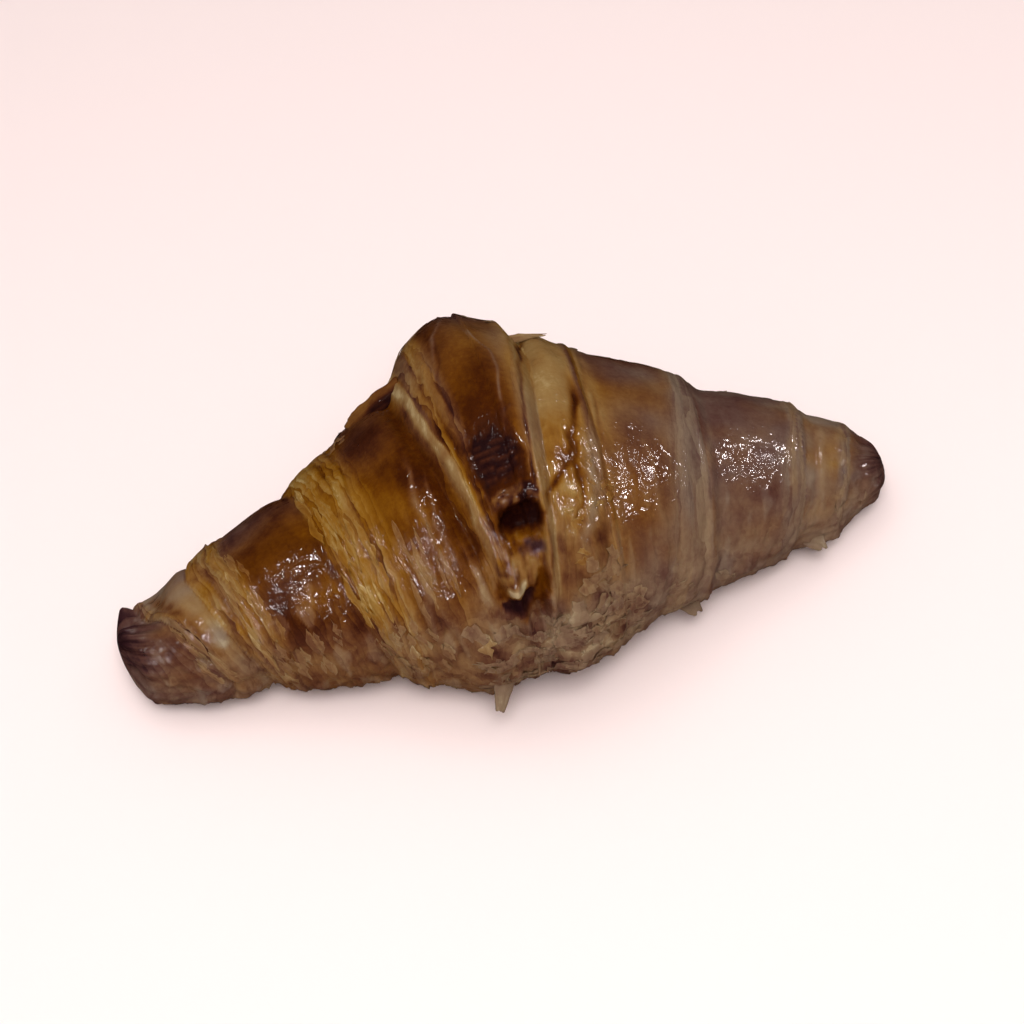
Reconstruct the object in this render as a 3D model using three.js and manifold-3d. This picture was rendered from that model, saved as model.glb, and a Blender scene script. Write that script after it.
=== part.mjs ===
// Butter croissant of rolled, layered dough, one solid resting on its flat base.
// Millimetres, +Z up. +X runs along the croissant from its left tip to its right tip and -Y is
// the front. The origin is the middle of the bounding box's underside.
import * as THREE from 'three';
import { mergeVertices } from 'three/addons/utils/BufferGeometryUtils.js';
import Module from 'manifold-3d';

// Overall body
const HALF_LENGTH = 86;
const TIP_ROUND = 8.5;
const CORE_RADIUS = { middle: 29.4, leftTip: 11.2, rightTip: 8.4, leftSlack: -3.3 };
const CORE_ROUND = 6;
const MIDDLE_SWELL = { height: 2.5, along: 14 };
const WRAP_RISE = { middle: 8.2, tip: 1.2 };
const FLATTENING = { middle: 0.78, tip: 0.92 };
const SEAT = 0.88;
const BASE_EDGE_ROUND = 1.6;
const BOW = { middle: -2.1, leftBend: -8.3, leftHook: 8, rightBend: -2.7, rightHook: 2.6, hookPower: 10 };

// Angles about the long axis in degrees: 0 back, 90 top, 180 front, 270 underneath
const BACK_ANGLE = 70;
const FRONT_ANGLE = 180;
const SEAM_ANGLE = -90;

// One entry for each turn of the rolled triangle, from the tip to the middle. lip and foot are the
// distances from the middle to the top and the bottom of the dough's cut edge, at the back and at
// the front. drop is the step down at the edge, puff how far the turn swells between its edges.
const LEFT_TURNS = [
  { lip: [76, 61], foot: [78, 63.5], drop: 1.7, puff: 0.8 },
  { lip: [60, 49.5], foot: [68.5, 57], drop: 4.3, puff: 1.0 },
  { lip: [32, 23], foot: [43, 31.5], drop: 4.1, puff: 2.2 },
  { lip: [9.5, 3.5], foot: [18, 6], drop: 0, puff: 2.6 },
];
const RIGHT_TURNS = [
  { lip: [77, 68], foot: [79, 71], drop: 1.3, puff: 0.6 },
  { lip: [65.5, 53], foot: [68.5, 59], drop: 3.0, puff: 0.8 },
  { lip: [40.5, 27], foot: [44.5, 37.5], drop: 4.2, puff: 1.6 },
  { lip: [19, 14], foot: [20.5, 16.5], drop: 1.6, puff: 1.8 },
  { lip: [7, -0.5], foot: [11, 1.0], drop: 0, puff: 1.2 },
];

// A cut edge stays full below its lip and drops away at its foot. A turn swells most a little past
// its middle, and the swell is never shorter than the least width.
const SHOULDER_POWER = 2.2;
const PUFF_SKEW = 0.9;
const LEAST_WRAP_WIDTH = 3;
const FIRST_EDGE_SLOPE = 0.5;

// Tongue: the last corner of the triangle, lying over the middle. Each start and fall is a range of
// angles over which the rim, the dome or the trough comes in or goes out.
const TONGUE = {
  end: [162, 172],
  rimLow: 1.5,
  rimHigh: 3.6,
  rimStart: [SEAM_ANGLE, 30],
  rimFall: [55, 165],
  domeHeight: 0.6,
  domeStart: [-40, 30],
  domeFall: [70, 105],
  troughDepth: 3.4,
  troughStart: [95, 112],
  leastHalfWidth: 1.5,
};

// Swells and hollows, each at [x, angle], with its reach along and around the body and its height
const TONGUE_LUMPS = [
  { at: [-2.5, 124], reach: [4, 4], height: 2.4 },
  { at: [-3, 138], reach: [4, 3.5], height: 1.6 },
  { at: [-4.5, 148], reach: [3.2, 5], height: 1.8 },
  { at: [17, 78], reach: [6, 24], height: 1.8 },
];
const FRONT_LUMPS = [
  { at: [-66, 205], reach: [7, 40], height: 2.2 },
  { at: [-46, 205], reach: [12, 40], height: -1.2 },
  { at: [-5, 210], reach: [11, 40], height: 0.7 },
  { at: [24, 210], reach: [8, 40], height: -2.6 },
  { at: [36, 210], reach: [8, 40], height: 1.0 },
  { at: [68, 208], reach: [7, 34], height: 1.9 },
  { at: [79, 210], reach: [5, 40], height: -1.6 },
];
const BACK_LUMPS = [
  { at: [-79, 58], reach: [7, 42], height: -5.0 },
  { at: [-69, 55], reach: [5, 40], height: 2.4 },
  { at: [-56, 55], reach: [8, 40], height: -2.0 },
  { at: [-30, 55], reach: [7, 40], height: -1.9 },
  { at: [-9, 50], reach: [8, 35], height: 2.2 },
  { at: [4, 52], reach: [7, 35], height: -3.8 },
  { at: [22, 45], reach: [8, 35], height: 2.0 },
];
const LUMPS = [...TONGUE_LUMPS, ...FRONT_LUMPS, ...BACK_LUMPS];

// Slow waves of hand-rolled dough: along is radians for each millimetre, rounds how often a wave
// goes up and down in one turn about the axis, and sway how far it leans back and forth, in radians
const DOUGH_WAVES = [
  { height: 0.385, along: 0.121, rounds: 0, sway: 1.7, leansTo: 0, phase: 0.4 },
  { height: 0.315, along: 0.205, rounds: 0, sway: -2.0, leansTo: 50, phase: 2.1 },
  { height: 0.245, along: 0.07, rounds: 3, sway: 0, leansTo: 0, phase: 0 },
];

// Loose leaves of crust that stand off the body. root is [x, angle] on the crust, reach runs from
// there to the free end, face is roughly the way the flat side looks and bend how far it arches.
const LEAVES = [
  { root: [-16.5, 60], reach: [-11.5, 2, -6.5], face: [-0.2, -0.3, 1], bend: 50, width: 9, thickness: 1.5 },
  { root: [-10, 195], reach: [-2.3, -2.8, -5.6], face: [0.4, -1, 0.3], bend: 10, width: 5, thickness: 1.0 },
  { root: [33, 205], reach: [1.2, -2.4, -1.2], face: [0, -0.6, 1], bend: 0, width: 6, thickness: 0.9 },
  { root: [64, 193], reach: [1.0, -2.4, -0.8], face: [0, -0.4, 1], bend: 0, width: 5.6, thickness: 0.9 },
  { root: [10.5, 60], reach: [4.6, 1.2, 0.4], face: [0, 0.2, 1], bend: -10, width: 2.4, thickness: 0.9 },
];
const LEAF_ROOT_DEPTH = 2.5;
const LEAF_CUPPING = 0.1;
const LEAF_NARROWING = 0.8;
const LEAF_THINNING = { edge: 0.45, end: 0.4 };
const LEAF_STEPS = { along: 6, across: 4 };

// Mesh steps
const ROWS_ALONG = 86;
const ROWS_PER_TIP = 6;
const COLUMNS = 46;
const TOP_CROWDING = 20;

const CRUST = new THREE.MeshStandardMaterial({
  name: 'baked_crust',
  color: 0x7a4c22,
  roughness: 0.38,
  metalness: 0,
});

const radians = THREE.MathUtils.degToRad;
const lerp = THREE.MathUtils.lerp;
const clamp = THREE.MathUtils.clamp;

function ease(from, to, value) {
  const t = clamp((value - from) / (to - from), 0, 1);
  return t * t * (3 - 2 * t);
}

function bell(offset, reach) {
  return Math.exp(-((offset / reach) ** 2));
}

function wrapAngle(degrees) {
  return THREE.MathUtils.euclideanModulo(degrees + 180, 360) - 180;
}

// Distance of a turn's lip or foot from the middle, which shrinks as the roll goes round
function edgeReach(turns, edge, angle, turn) {
  const rolled = angle + 360 * turn;
  const stops = turns.flatMap((t, i) => [
    [BACK_ANGLE + 360 * i, t[edge][0]],
    [FRONT_ANGLE + 360 * i, t[edge][1]],
  ]);
  const [firstStop, secondStop] = stops;
  if (rolled <= firstStop[0]) {
    const slope = (firstStop[1] - secondStop[1]) / (secondStop[0] - firstStop[0]);
    return firstStop[1] + FIRST_EDGE_SLOPE * slope * (firstStop[0] - rolled);
  }
  const next = stops.findIndex((stop) => rolled < stop[0]);
  if (next < 0) return stops[stops.length - 1][1];
  const [a, b] = [stops[next - 1], stops[next]];
  return lerp(a[1], b[1], (rolled - a[0]) / (b[0] - a[0]));
}

function tipShare(x) {
  return Math.min(Math.hypot(x, CORE_ROUND) / HALF_LENGTH, 1);
}

function coreRadius(x) {
  const t = tipShare(x);
  const tip = x < 0 ? CORE_RADIUS.leftTip : CORE_RADIUS.rightTip;
  const slack = x < 0 ? CORE_RADIUS.leftSlack * 4 * t * (1 - t) : 0;
  return lerp(CORE_RADIUS.middle, tip, t) + slack;
}

function middleSwell(x) {
  return MIDDLE_SWELL.height * bell(x, MIDDLE_SWELL.along);
}

// What the turns add to the core: a round shoulder down each cut edge and a swell between the edges
function wrapRise(turns, x, angle) {
  const reach = Math.abs(x);
  let rise = 0;
  for (let turn = 0; turn < turns.length - 1; turn += 1) {
    const lip = edgeReach(turns, 'lip', angle, turn);
    const foot = edgeReach(turns, 'foot', angle, turn);
    const nextFoot = edgeReach(turns, 'foot', angle, turn + 1);
    const along = clamp((reach - nextFoot) / Math.max(lip - nextFoot, LEAST_WRAP_WIDTH), 0, 1);
    const downStep = clamp((reach - lip) / (foot - lip), 0, 1) ** SHOULDER_POWER;
    rise += turns[turn].drop * (1 - downStep);
    rise += turns[turn].puff * Math.sin(Math.PI * along ** PUFF_SKEW);
  }
  return rise;
}

// The tongue stands proud as a rimmed dome at the top and sinks to a trough further down
function tongueRise(x, angle) {
  const leftLip = -edgeReach(LEFT_TURNS, 'lip', angle, LEFT_TURNS.length - 1);
  const leftFoot = -edgeReach(LEFT_TURNS, 'foot', angle, LEFT_TURNS.length - 1);
  const rightLip = edgeReach(RIGHT_TURNS, 'lip', angle, RIGHT_TURNS.length - 1);
  const rightFoot = edgeReach(RIGHT_TURNS, 'foot', angle, RIGHT_TURNS.length - 1);
  const fade = 1 - ease(...TONGUE.end, angle);
  const rimHeight = TONGUE.rimLow + TONGUE.rimHigh * (1 - ease(...TONGUE.rimFall, angle));
  const rim = rimHeight * ease(...TONGUE.rimStart, angle) * fade;
  const plateau = ease(leftFoot, leftLip, x) * (1 - ease(rightLip, rightFoot, x));
  const middle = (leftLip + rightLip) / 2;
  const halfWidth = Math.max((rightLip - leftLip) / 2, TONGUE.leastHalfWidth);
  const across = clamp(1 - ((x - middle) / halfWidth) ** 2, 0, 1);
  const domeShare = ease(...TONGUE.domeStart, angle) * (1 - ease(...TONGUE.domeFall, angle));
  const dome = TONGUE.domeHeight * domeShare;
  const trough = TONGUE.troughDepth * ease(...TONGUE.troughStart, angle) * fade;
  return rim * plateau + (dome - trough) * across;
}

function lumpRise(x, angle) {
  return LUMPS.reduce((sum, { at, reach, height }) => (
    sum + height * bell(x - at[0], reach[0]) * bell(wrapAngle(angle - at[1]), reach[1])
  ), 0);
}

function unevenRise(x, angle) {
  return DOUGH_WAVES.reduce((sum, { height, along, rounds, sway, leansTo, phase }) => {
    const lean = sway * Math.cos(radians(angle - leansTo));
    return sum + height * Math.sin(along * x + rounds * radians(angle) + lean + phase);
  }, 0);
}

function tipClosure(x) {
  const past = clamp((Math.abs(x) - (HALF_LENGTH - TIP_ROUND)) / TIP_ROUND, 0, 1);
  return Math.sqrt(Math.max(1 - past ** 2, 0));
}

function doughRadius(x, angle) {
  const turns = x < 0 ? LEFT_TURNS : RIGHT_TURNS;
  const body = coreRadius(x) + middleSwell(x) + wrapRise(turns, x, angle);
  const relief = tongueRise(x, angle) + lumpRise(x, angle) + unevenRise(x, angle);
  return (body + relief) * tipClosure(x);
}

// The long axis bows a little and hooks at the tips
function axisY(x) {
  const t = Math.abs(x) / HALF_LENGTH;
  const [bend, hook] = x < 0 ? [BOW.leftBend, BOW.leftHook] : [BOW.rightBend, BOW.rightHook];
  return BOW.middle + bend * t ** 2 + hook * t ** BOW.hookPower;
}

// Rounds the turn from the side to the flat base
function restOnBase(z) {
  if (z <= -BASE_EDGE_ROUND) return 0;
  if (z >= BASE_EDGE_ROUND) return z;
  return (z + BASE_EDGE_ROUND) ** 2 / (4 * BASE_EDGE_ROUND);
}

function surfacePoint(x, angle) {
  const t = Math.abs(x) / HALF_LENGTH;
  const flattening = lerp(FLATTENING.middle, FLATTENING.tip, t ** 2);
  const outer = coreRadius(x) + middleSwell(x) + lerp(WRAP_RISE.middle, WRAP_RISE.tip, t);
  const radius = doughRadius(x, angle);
  const a = radians(angle);
  const z = flattening * (SEAT * outer + radius * Math.sin(a));
  return new THREE.Vector3(x, axisY(x) + radius * Math.cos(a), restOnBase(z));
}

// Rows are even along the body and follow a quarter circle over each tip
function rowPositions() {
  const shoulder = HALF_LENGTH - TIP_ROUND;
  const body = Array.from({ length: ROWS_ALONG }, (_, i) => (
    lerp(-shoulder, shoulder, i / (ROWS_ALONG - 1))
  ));
  const tip = Array.from({ length: ROWS_PER_TIP - 1 }, (_, i) => (
    shoulder + TIP_ROUND * Math.sin(((i + 1) / ROWS_PER_TIP) * Math.PI / 2)
  ));
  return [...tip.map((x) => -x).reverse(), ...body, ...tip];
}

// Columns crowd towards the top, where the folds are
function columnAngles() {
  return Array.from({ length: COLUMNS }, (_, i) => {
    const share = i / COLUMNS - 0.5;
    return 90 + 360 * share - TOP_CROWDING * Math.sin(2 * Math.PI * share);
  });
}

function meshFrom(points, faces) {
  const geometry = new THREE.BufferGeometry();
  const numbers = points.flatMap((point) => point.toArray());
  geometry.setAttribute('position', new THREE.Float32BufferAttribute(numbers, 3));
  geometry.setIndex(faces.flat());
  return geometry;
}

function bodyGeometry() {
  const rows = rowPositions();
  const angles = columnAngles();
  const points = rows.flatMap((x) => angles.map((angle) => surfacePoint(x, angle)));
  const corner = (row, column) => row * COLUMNS + (column % COLUMNS);
  const faces = [];
  for (let row = 0; row < rows.length - 1; row += 1) {
    for (let column = 0; column < COLUMNS; column += 1) {
      const [a, b] = [corner(row, column), corner(row, column + 1)];
      const [c, d] = [corner(row + 1, column), corner(row + 1, column + 1)];
      faces.push([a, b, d], [a, d, c]);
    }
  }
  const leftPole = points.push(surfacePoint(-HALF_LENGTH, 0)) - 1;
  const rightPole = points.push(surfacePoint(HALF_LENGTH, 0)) - 1;
  const lastRow = rows.length - 1;
  for (let column = 0; column < COLUMNS; column += 1) {
    faces.push([leftPole, corner(0, column + 1), corner(0, column)]);
    faces.push([rightPole, corner(lastRow, column), corner(lastRow, column + 1)]);
  }
  return meshFrom(points, faces);
}

// A thin leaf of crust that leaves its root, arches and narrows to its free end
function leafGeometry({ root, reach, face, bend, width, thickness }) {
  const forward = new THREE.Vector3(...reach).normalize();
  const side = new THREE.Vector3().crossVectors(forward, new THREE.Vector3(...face)).normalize();
  const upward = new THREE.Vector3().crossVectors(side, forward);
  const length = Math.hypot(...reach) + LEAF_ROOT_DEPTH;
  const spine = surfacePoint(...root).addScaledVector(forward, -LEAF_ROOT_DEPTH);
  const top = [];
  const bottom = [];
  for (let i = 0; i <= LEAF_STEPS.along; i += 1) {
    const share = i / LEAF_STEPS.along;
    const pitch = radians(bend * (0.5 - share));
    const direction = forward.clone().multiplyScalar(Math.cos(pitch));
    direction.addScaledVector(upward, Math.sin(pitch));
    const normal = new THREE.Vector3().crossVectors(side, direction).normalize();
    const halfWidth = (width / 2) * Math.sqrt(1 - LEAF_NARROWING * share ** 3);
    for (let j = 0; j <= LEAF_STEPS.across; j += 1) {
      const across = (2 * j) / LEAF_STEPS.across - 1;
      const thinning = (1 - LEAF_THINNING.edge * across ** 2) * (1 - LEAF_THINNING.end * share);
      const half = (thickness / 2) * thinning;
      const dip = LEAF_CUPPING * width * across ** 2;
      const middle = spine.clone().addScaledVector(side, across * halfWidth);
      middle.addScaledVector(normal, -dip);
      top.push(middle.clone().addScaledVector(normal, half));
      bottom.push(middle.clone().addScaledVector(normal, -half));
    }
    spine.addScaledVector(direction, length / LEAF_STEPS.along);
  }
  return meshFrom([...top, ...bottom], slabFaces(top.length));
}

// Closed faces over a top grid, a bottom grid and the four walls between them
function slabFaces(bottomStart) {
  const { along, across } = LEAF_STEPS;
  const corner = (i, j) => i * (across + 1) + j;
  const faces = [];
  for (let i = 0; i < along; i += 1) {
    for (let j = 0; j < across; j += 1) {
      const [a, b, c, d] = [corner(i, j), corner(i, j + 1), corner(i + 1, j), corner(i + 1, j + 1)];
      faces.push([a, b, d], [a, d, c]);
      faces.push([bottomStart + a, bottomStart + d, bottomStart + b]);
      faces.push([bottomStart + a, bottomStart + c, bottomStart + d]);
    }
  }
  const wall = (p, q) => faces.push([q, bottomStart + q, bottomStart + p], [q, bottomStart + p, p]);
  for (let i = 0; i < along; i += 1) {
    wall(corner(i, 0), corner(i + 1, 0));
    wall(corner(i + 1, across), corner(i, across));
  }
  for (let j = 0; j < across; j += 1) {
    wall(corner(0, j + 1), corner(0, j));
    wall(corner(along, j), corner(along, j + 1));
  }
  return faces;
}

// The volume's sign says which way the faces point, so a mirrored leaf is turned the right way
function facesOutward(geometry) {
  const points = geometry.getAttribute('position');
  const index = geometry.getIndex().array;
  const corner = (i) => new THREE.Vector3().fromBufferAttribute(points, index[i]);
  let volume = 0;
  for (let i = 0; i < index.length; i += 3) {
    volume += corner(i).dot(new THREE.Vector3().crossVectors(corner(i + 1), corner(i + 2)));
  }
  if (volume > 0) return geometry;
  for (let i = 0; i < index.length; i += 3) {
    [index[i + 1], index[i + 2]] = [index[i + 2], index[i + 1]];
  }
  return geometry;
}

const wasm = await Module();
wasm.setup();

function toSolid(geometry) {
  const merged = facesOutward(mergeVertices(geometry));
  return new wasm.Manifold(new wasm.Mesh({
    numProp: 3,
    vertProperties: merged.getAttribute('position').array,
    triVerts: Uint32Array.from(merged.getIndex().array),
  }));
}

function toGeometry(solid) {
  const { vertProperties, triVerts } = solid.getMesh();
  const geometry = new THREE.BufferGeometry();
  geometry.setAttribute('position', new THREE.Float32BufferAttribute(vertProperties, 3));
  geometry.setIndex(Array.from(triVerts));
  geometry.computeVertexNormals();
  return geometry;
}

function croissant() {
  const body = toSolid(bodyGeometry());
  const whole = LEAVES.reduce((solid, leaf) => solid.add(toSolid(leafGeometry(leaf))), body);
  const mesh = new THREE.Mesh(toGeometry(whole), CRUST);
  mesh.name = 'croissant';
  return mesh;
}

const part = new THREE.Group();
part.add(croissant());

export default part;
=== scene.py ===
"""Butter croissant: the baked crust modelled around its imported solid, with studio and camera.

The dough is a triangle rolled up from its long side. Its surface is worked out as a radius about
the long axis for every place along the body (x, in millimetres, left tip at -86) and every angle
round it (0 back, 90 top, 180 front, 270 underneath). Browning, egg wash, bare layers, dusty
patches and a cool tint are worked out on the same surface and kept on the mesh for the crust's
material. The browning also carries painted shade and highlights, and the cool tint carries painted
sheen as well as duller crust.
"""
import logging
import math
from dataclasses import dataclass
from enum import Enum

import bpy
import numpy as np
from mathutils import Matrix, Vector


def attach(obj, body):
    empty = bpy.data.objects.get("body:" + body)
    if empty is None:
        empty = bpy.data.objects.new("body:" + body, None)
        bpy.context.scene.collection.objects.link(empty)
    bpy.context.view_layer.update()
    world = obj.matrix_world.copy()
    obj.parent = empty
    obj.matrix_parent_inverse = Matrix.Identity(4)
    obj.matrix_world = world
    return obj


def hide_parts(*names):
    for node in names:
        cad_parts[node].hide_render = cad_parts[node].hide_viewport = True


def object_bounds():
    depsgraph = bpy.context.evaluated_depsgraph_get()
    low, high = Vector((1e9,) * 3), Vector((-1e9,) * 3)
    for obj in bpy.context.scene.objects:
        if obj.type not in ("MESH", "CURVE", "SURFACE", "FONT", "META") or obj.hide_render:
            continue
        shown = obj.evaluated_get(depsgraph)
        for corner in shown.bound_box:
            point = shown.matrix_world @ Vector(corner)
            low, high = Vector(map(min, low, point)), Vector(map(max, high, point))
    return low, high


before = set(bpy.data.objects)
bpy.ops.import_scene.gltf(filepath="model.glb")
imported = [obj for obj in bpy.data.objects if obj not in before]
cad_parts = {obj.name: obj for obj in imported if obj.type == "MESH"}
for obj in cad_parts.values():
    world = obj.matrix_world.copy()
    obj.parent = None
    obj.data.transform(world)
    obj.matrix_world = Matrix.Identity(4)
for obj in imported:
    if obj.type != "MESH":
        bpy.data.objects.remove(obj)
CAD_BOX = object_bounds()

LOG = logging.getLogger("croissant")
MM = 0.001
FLOW_RADIUS = 30.0
PLAIN_WASH = 0.5
# cool is a cool tint: duller crust, and painted sheen
MASKS = ("bake", "wash", "dust", "cool", "layers")
HASH_FACTORS = (374761393, 668265263, 2246822519)
HASH_SEED_FACTOR = 3266489917
HASH_MIXERS = ((13, 1274126177), (15, 2654435761))
HASH_LAST_SHIFT = 16
HASH_HALF_RANGE = 32767.5
OCTAVE_SHIFT = 17.3
Array = np.ndarray
Piece = bpy.types.Object
Socket = bpy.types.NodeSocket


def ease(start: Array | float, end: Array | float, value: Array) -> Array:
    """Rise smoothly from 0 at start to 1 at end.

    Args:
        start: where the rise begins.
        end: where it is complete.
        value: the places asked for.

    Returns:
        The share of the rise, 0 to 1.
    """
    t = np.clip((value - start) / (end - start), 0.0, 1.0)
    return t * t * (3.0 - 2.0 * t)


def window(value: Array, stops: tuple) -> Array:
    """Rise smoothly to 1 between the first two stops and fall back to 0 between the last two.

    Args:
        value: the places asked for.
        stops: where the rise begins and ends, then where the fall begins and ends.

    Returns:
        The share, 0 to 1.
    """
    start, full, last, gone = stops
    return ease(start, full, value) * (1.0 - ease(last, gone, value))


def bell(offset: Array, reach: float) -> Array:
    """Fall off smoothly on both sides of 0, to about a third at the given reach."""
    return np.exp(-((offset / reach) ** 2))


def wrap_angle(degrees: Array) -> Array:
    """Bring an angle difference into -180 to 180 degrees."""
    return (degrees + 180.0) % 360.0 - 180.0


def mix(first: Array, second: Array | float, share: Array) -> Array:
    """Blend from the first value to the second."""
    return first + (second - first) * share


class Side(Enum):
    """The two halves of the roll, by the sign of x."""

    LEFT = -1
    RIGHT = 1


class Edge(Enum):
    """The two lines of a turn's cut edge: the lip at its top and the foot below it."""

    LIP = "lip"
    FOOT = "foot"


@dataclass(frozen=True)
class LatticeNoise:
    """Smooth random values on a lattice, the same on every run."""

    seed: int

    def corner(self, *steps: Array) -> Array:
        """Give each lattice corner a fixed random value.

        Args:
            steps: the corner's three whole coordinates.

        Returns:
            Values from -1 to 1.
        """
        h = np.uint32(self.seed * HASH_SEED_FACTOR % 2**32)
        for step, factor in zip(steps, HASH_FACTORS):
            h = h + step.astype(np.uint32) * np.uint32(factor)
        for shift, factor in HASH_MIXERS:
            h = (h ^ (h >> np.uint32(shift))) * np.uint32(factor)
        h = h ^ (h >> np.uint32(HASH_LAST_SHIFT))
        return (h & np.uint32(0xFFFF)).astype(float) / HASH_HALF_RANGE - 1.0

    def at(self, a: Array, b: Array = 0.0, c: Array = 0.0) -> Array:
        """Read the noise.

        Args:
            a: first coordinate, one lattice step for each unit.
            b: second coordinate.
            c: third coordinate.

        Returns:
            Values from about -1 to 1.
        """
        places = np.broadcast_arrays(np.asarray(a, float), np.asarray(b, float), np.asarray(c, float))
        whole = [np.floor(v).astype(np.int64) for v in places]
        part = [v - w for v, w in zip(places, whole)]
        share = [p * p * (3.0 - 2.0 * p) for p in part]
        total = np.zeros(places[0].shape)
        for far in np.ndindex(2, 2, 2):
            near = [s if step else 1 - s for s, step in zip(share, far)]
            value = self.corner(*(w + step for w, step in zip(whole, far)))
            total += near[0] * near[1] * near[2] * value
        return total

    def rough(self, a: Array, b: Array = 0.0, c: Array = 0.0, octaves: int = 3) -> Array:
        """Read noise with finer noise on it, each octave half as strong.

        Args:
            a: first coordinate, one lattice step for each unit of the coarsest octave.
            b: second coordinate.
            c: third coordinate.
            octaves: how many noises are added up.

        Returns:
            Values from about -2 to 2.
        """
        total = np.zeros(np.broadcast(a, b, c).shape)
        for octave in range(octaves):
            step = 2.0 ** octave
            total += self.at(a * step, b * step, c * step + OCTAVE_SHIFT * octave) / step
        return total


@dataclass(frozen=True)
class Grain:
    """Noise with a size: its seed, how long its grains are both ways, its level and its octaves."""

    seed: int
    along: float
    around: float = 1.0
    level: float = 0.0
    octaves: int = 3

    def at(self, a: Array, b: Array | float = 0.0, higher: float = 0.0) -> Array:
        """Read the noise.

        Args:
            a: place along, in the units of the grain's length.
            b: place around.
            higher: added to the level, so that each caller gets its own noise.

        Returns:
            Values from about -2 to 2.
        """
        noise = LatticeNoise(self.seed)
        return noise.rough(a / self.along, b / self.around, self.level + higher, self.octaves)


@dataclass(frozen=True)
class Shards:
    """Cracked plates, each tilted its own way."""

    seed: int
    scatter: float = 0.45
    own_height: float = 0.35

    def at(self, a: Array, b: Array) -> tuple[Array, Array]:
        """Find the plate under each point.

        Args:
            a: first coordinate, about one plate for each unit.
            b: second coordinate.

        Returns:
            The plate's tilted height from about -0.5 to 0.5, and its tone from -1 to 1.
        """
        noise = LatticeNoise(self.seed)
        i, j = np.floor(a).astype(np.int64), np.floor(b).astype(np.int64)
        zero = np.zeros_like(i)
        nearest = np.full(a.shape, np.inf)
        tilt, tone = np.zeros(a.shape), np.zeros(a.shape)
        for di in (-1, 0, 1):
            for dj in (-1, 0, 1):
                chance = [noise.corner(i + di, j + dj, zero + k) for k in range(4)]
                off_a = a - (i + di + 0.5 + self.scatter * chance[0])
                off_b = b - (j + dj + 0.5 + self.scatter * chance[1])
                away = np.hypot(off_a, off_b)
                closer = away < nearest
                nearest = np.where(closer, away, nearest)
                lean = off_a * np.cos(np.pi * chance[2]) + off_b * np.sin(np.pi * chance[2])
                tilt = np.where(closer, lean + self.own_height * chance[3], tilt)
                tone = np.where(closer, chance[3], tone)
        return tilt, tone


@dataclass(frozen=True)
class Spot:
    """A soft place on the croissant: its middle, and how far it reaches along and around."""

    x: float
    angle: float
    along: float
    around: float

    def share(self, x: Array, angle: Array) -> Array:
        """Give how much a point belongs to the place, from 0 to 1."""
        return bell(x - self.x, self.along) * bell(wrap_angle(angle - self.angle), self.around)


@dataclass(frozen=True)
class Lump(Spot):
    """A swell, or a hollow if its height is negative."""

    height: float


@dataclass(frozen=True)
class Patch(Spot):
    """A place that is more or less baked than its surroundings, or more or less cool-tinted: duller crust and
    painted sheen.
    """

    bake: float
    cool: float = 0.0


@dataclass(frozen=True)
class Glint(Spot):
    """A place with more or less egg wash than its surroundings."""

    gloss: float


@dataclass(frozen=True)
class Hollow(Spot):
    """A burnt or raised place in the tongue's trough, with an uneven edge."""

    rise: float
    bake: float
    cool: float
    wash: float
    grain: float = 0.0
    lean: float = 0.0
    squareness: float = 2.3
    raggedness: float = 0.20

    def uneven_share(self, x: Array, angle: Array, seed: int) -> Array:
        """Give how much a point belongs to the place.

        Args:
            x: places along the body.
            angle: angles round it.
            seed: picks the uneven edge.

        Returns:
            The share, 0 to 1.
        """
        power = self.squareness
        aside = np.abs((x - self.x - self.lean * (angle - self.angle)) / self.along)
        away = (aside ** power + np.abs((angle - self.angle) / self.around) ** power) ** (1 / power)
        return 1 - ease(0.80, 1.15, away + self.raggedness * Grain(seed, 1.8, 3.2).at(x, angle))


@dataclass(frozen=True)
class Line:
    """A rim, fold or crack that runs round the body."""

    angles: tuple[float, ...]
    places: tuple[float, ...]
    half_width: float
    height: float
    bake: float
    opacity: float
    wash: float | None = None
    cool: float | None = None
    wander: float = 0.3
    fade: float = 8.0

    def place(self, angle: Array) -> Array:
        """Give where the line's middle runs, as places along x."""
        return np.interp(angle, self.angles, self.places)

    def across(self, x: Array, angle: Array, seed: int) -> Array:
        """Give the distance from the wandering line, in millimetres, to the right of it."""
        return x - self.place(angle) - self.wander * Grain(seed, 7, octaves=2).at(angle, 1.0)

    def shown(self, angle: Array) -> Array:
        """Give how much of the line shows at an angle, from 0 to 1, as it fades in and out."""
        first, last, half = self.angles[0], self.angles[-1], self.fade / 2
        return window(angle, (first - self.fade, first + half, last - half, last + self.fade))

    def strength(self, x: Array, angle: Array, seed: int) -> Array:
        """Give the line's strength.

        Args:
            x: places along the body.
            angle: angles round it.
            seed: picks how the line wanders and swells.

        Returns:
            The strength, 0 to about 1.
        """
        noise = LatticeNoise(seed + 1)
        width = self.half_width * (1 + 0.3 * noise.at(angle / 9))
        uneven = 0.85 + 0.3 * noise.at(angle / 5, 3.0)
        return bell(self.across(x, angle, seed), width) * self.shown(angle) * uneven


@dataclass(frozen=True)
class TurnLook:
    """How baked the outer skin of a turn is, and how cool its tint, for duller crust and painted sheen."""

    bake: float
    cool: float


@dataclass(frozen=True)
class Turn:
    """One turn of the rolled triangle: where its cut edge runs and how it looks.

    The lip and the foot are distances from the middle of the body, at the back and at the front.
    """

    lip: tuple[float, float]
    foot: tuple[float, float]
    drop: float
    puff: float
    crown: TurnLook
    band: TurnLook
    layers: int
    layer_depth: float
    soft: float
    foot_shade: float
    fill: float = 0.0
    fill_width: float = 1.0


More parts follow.
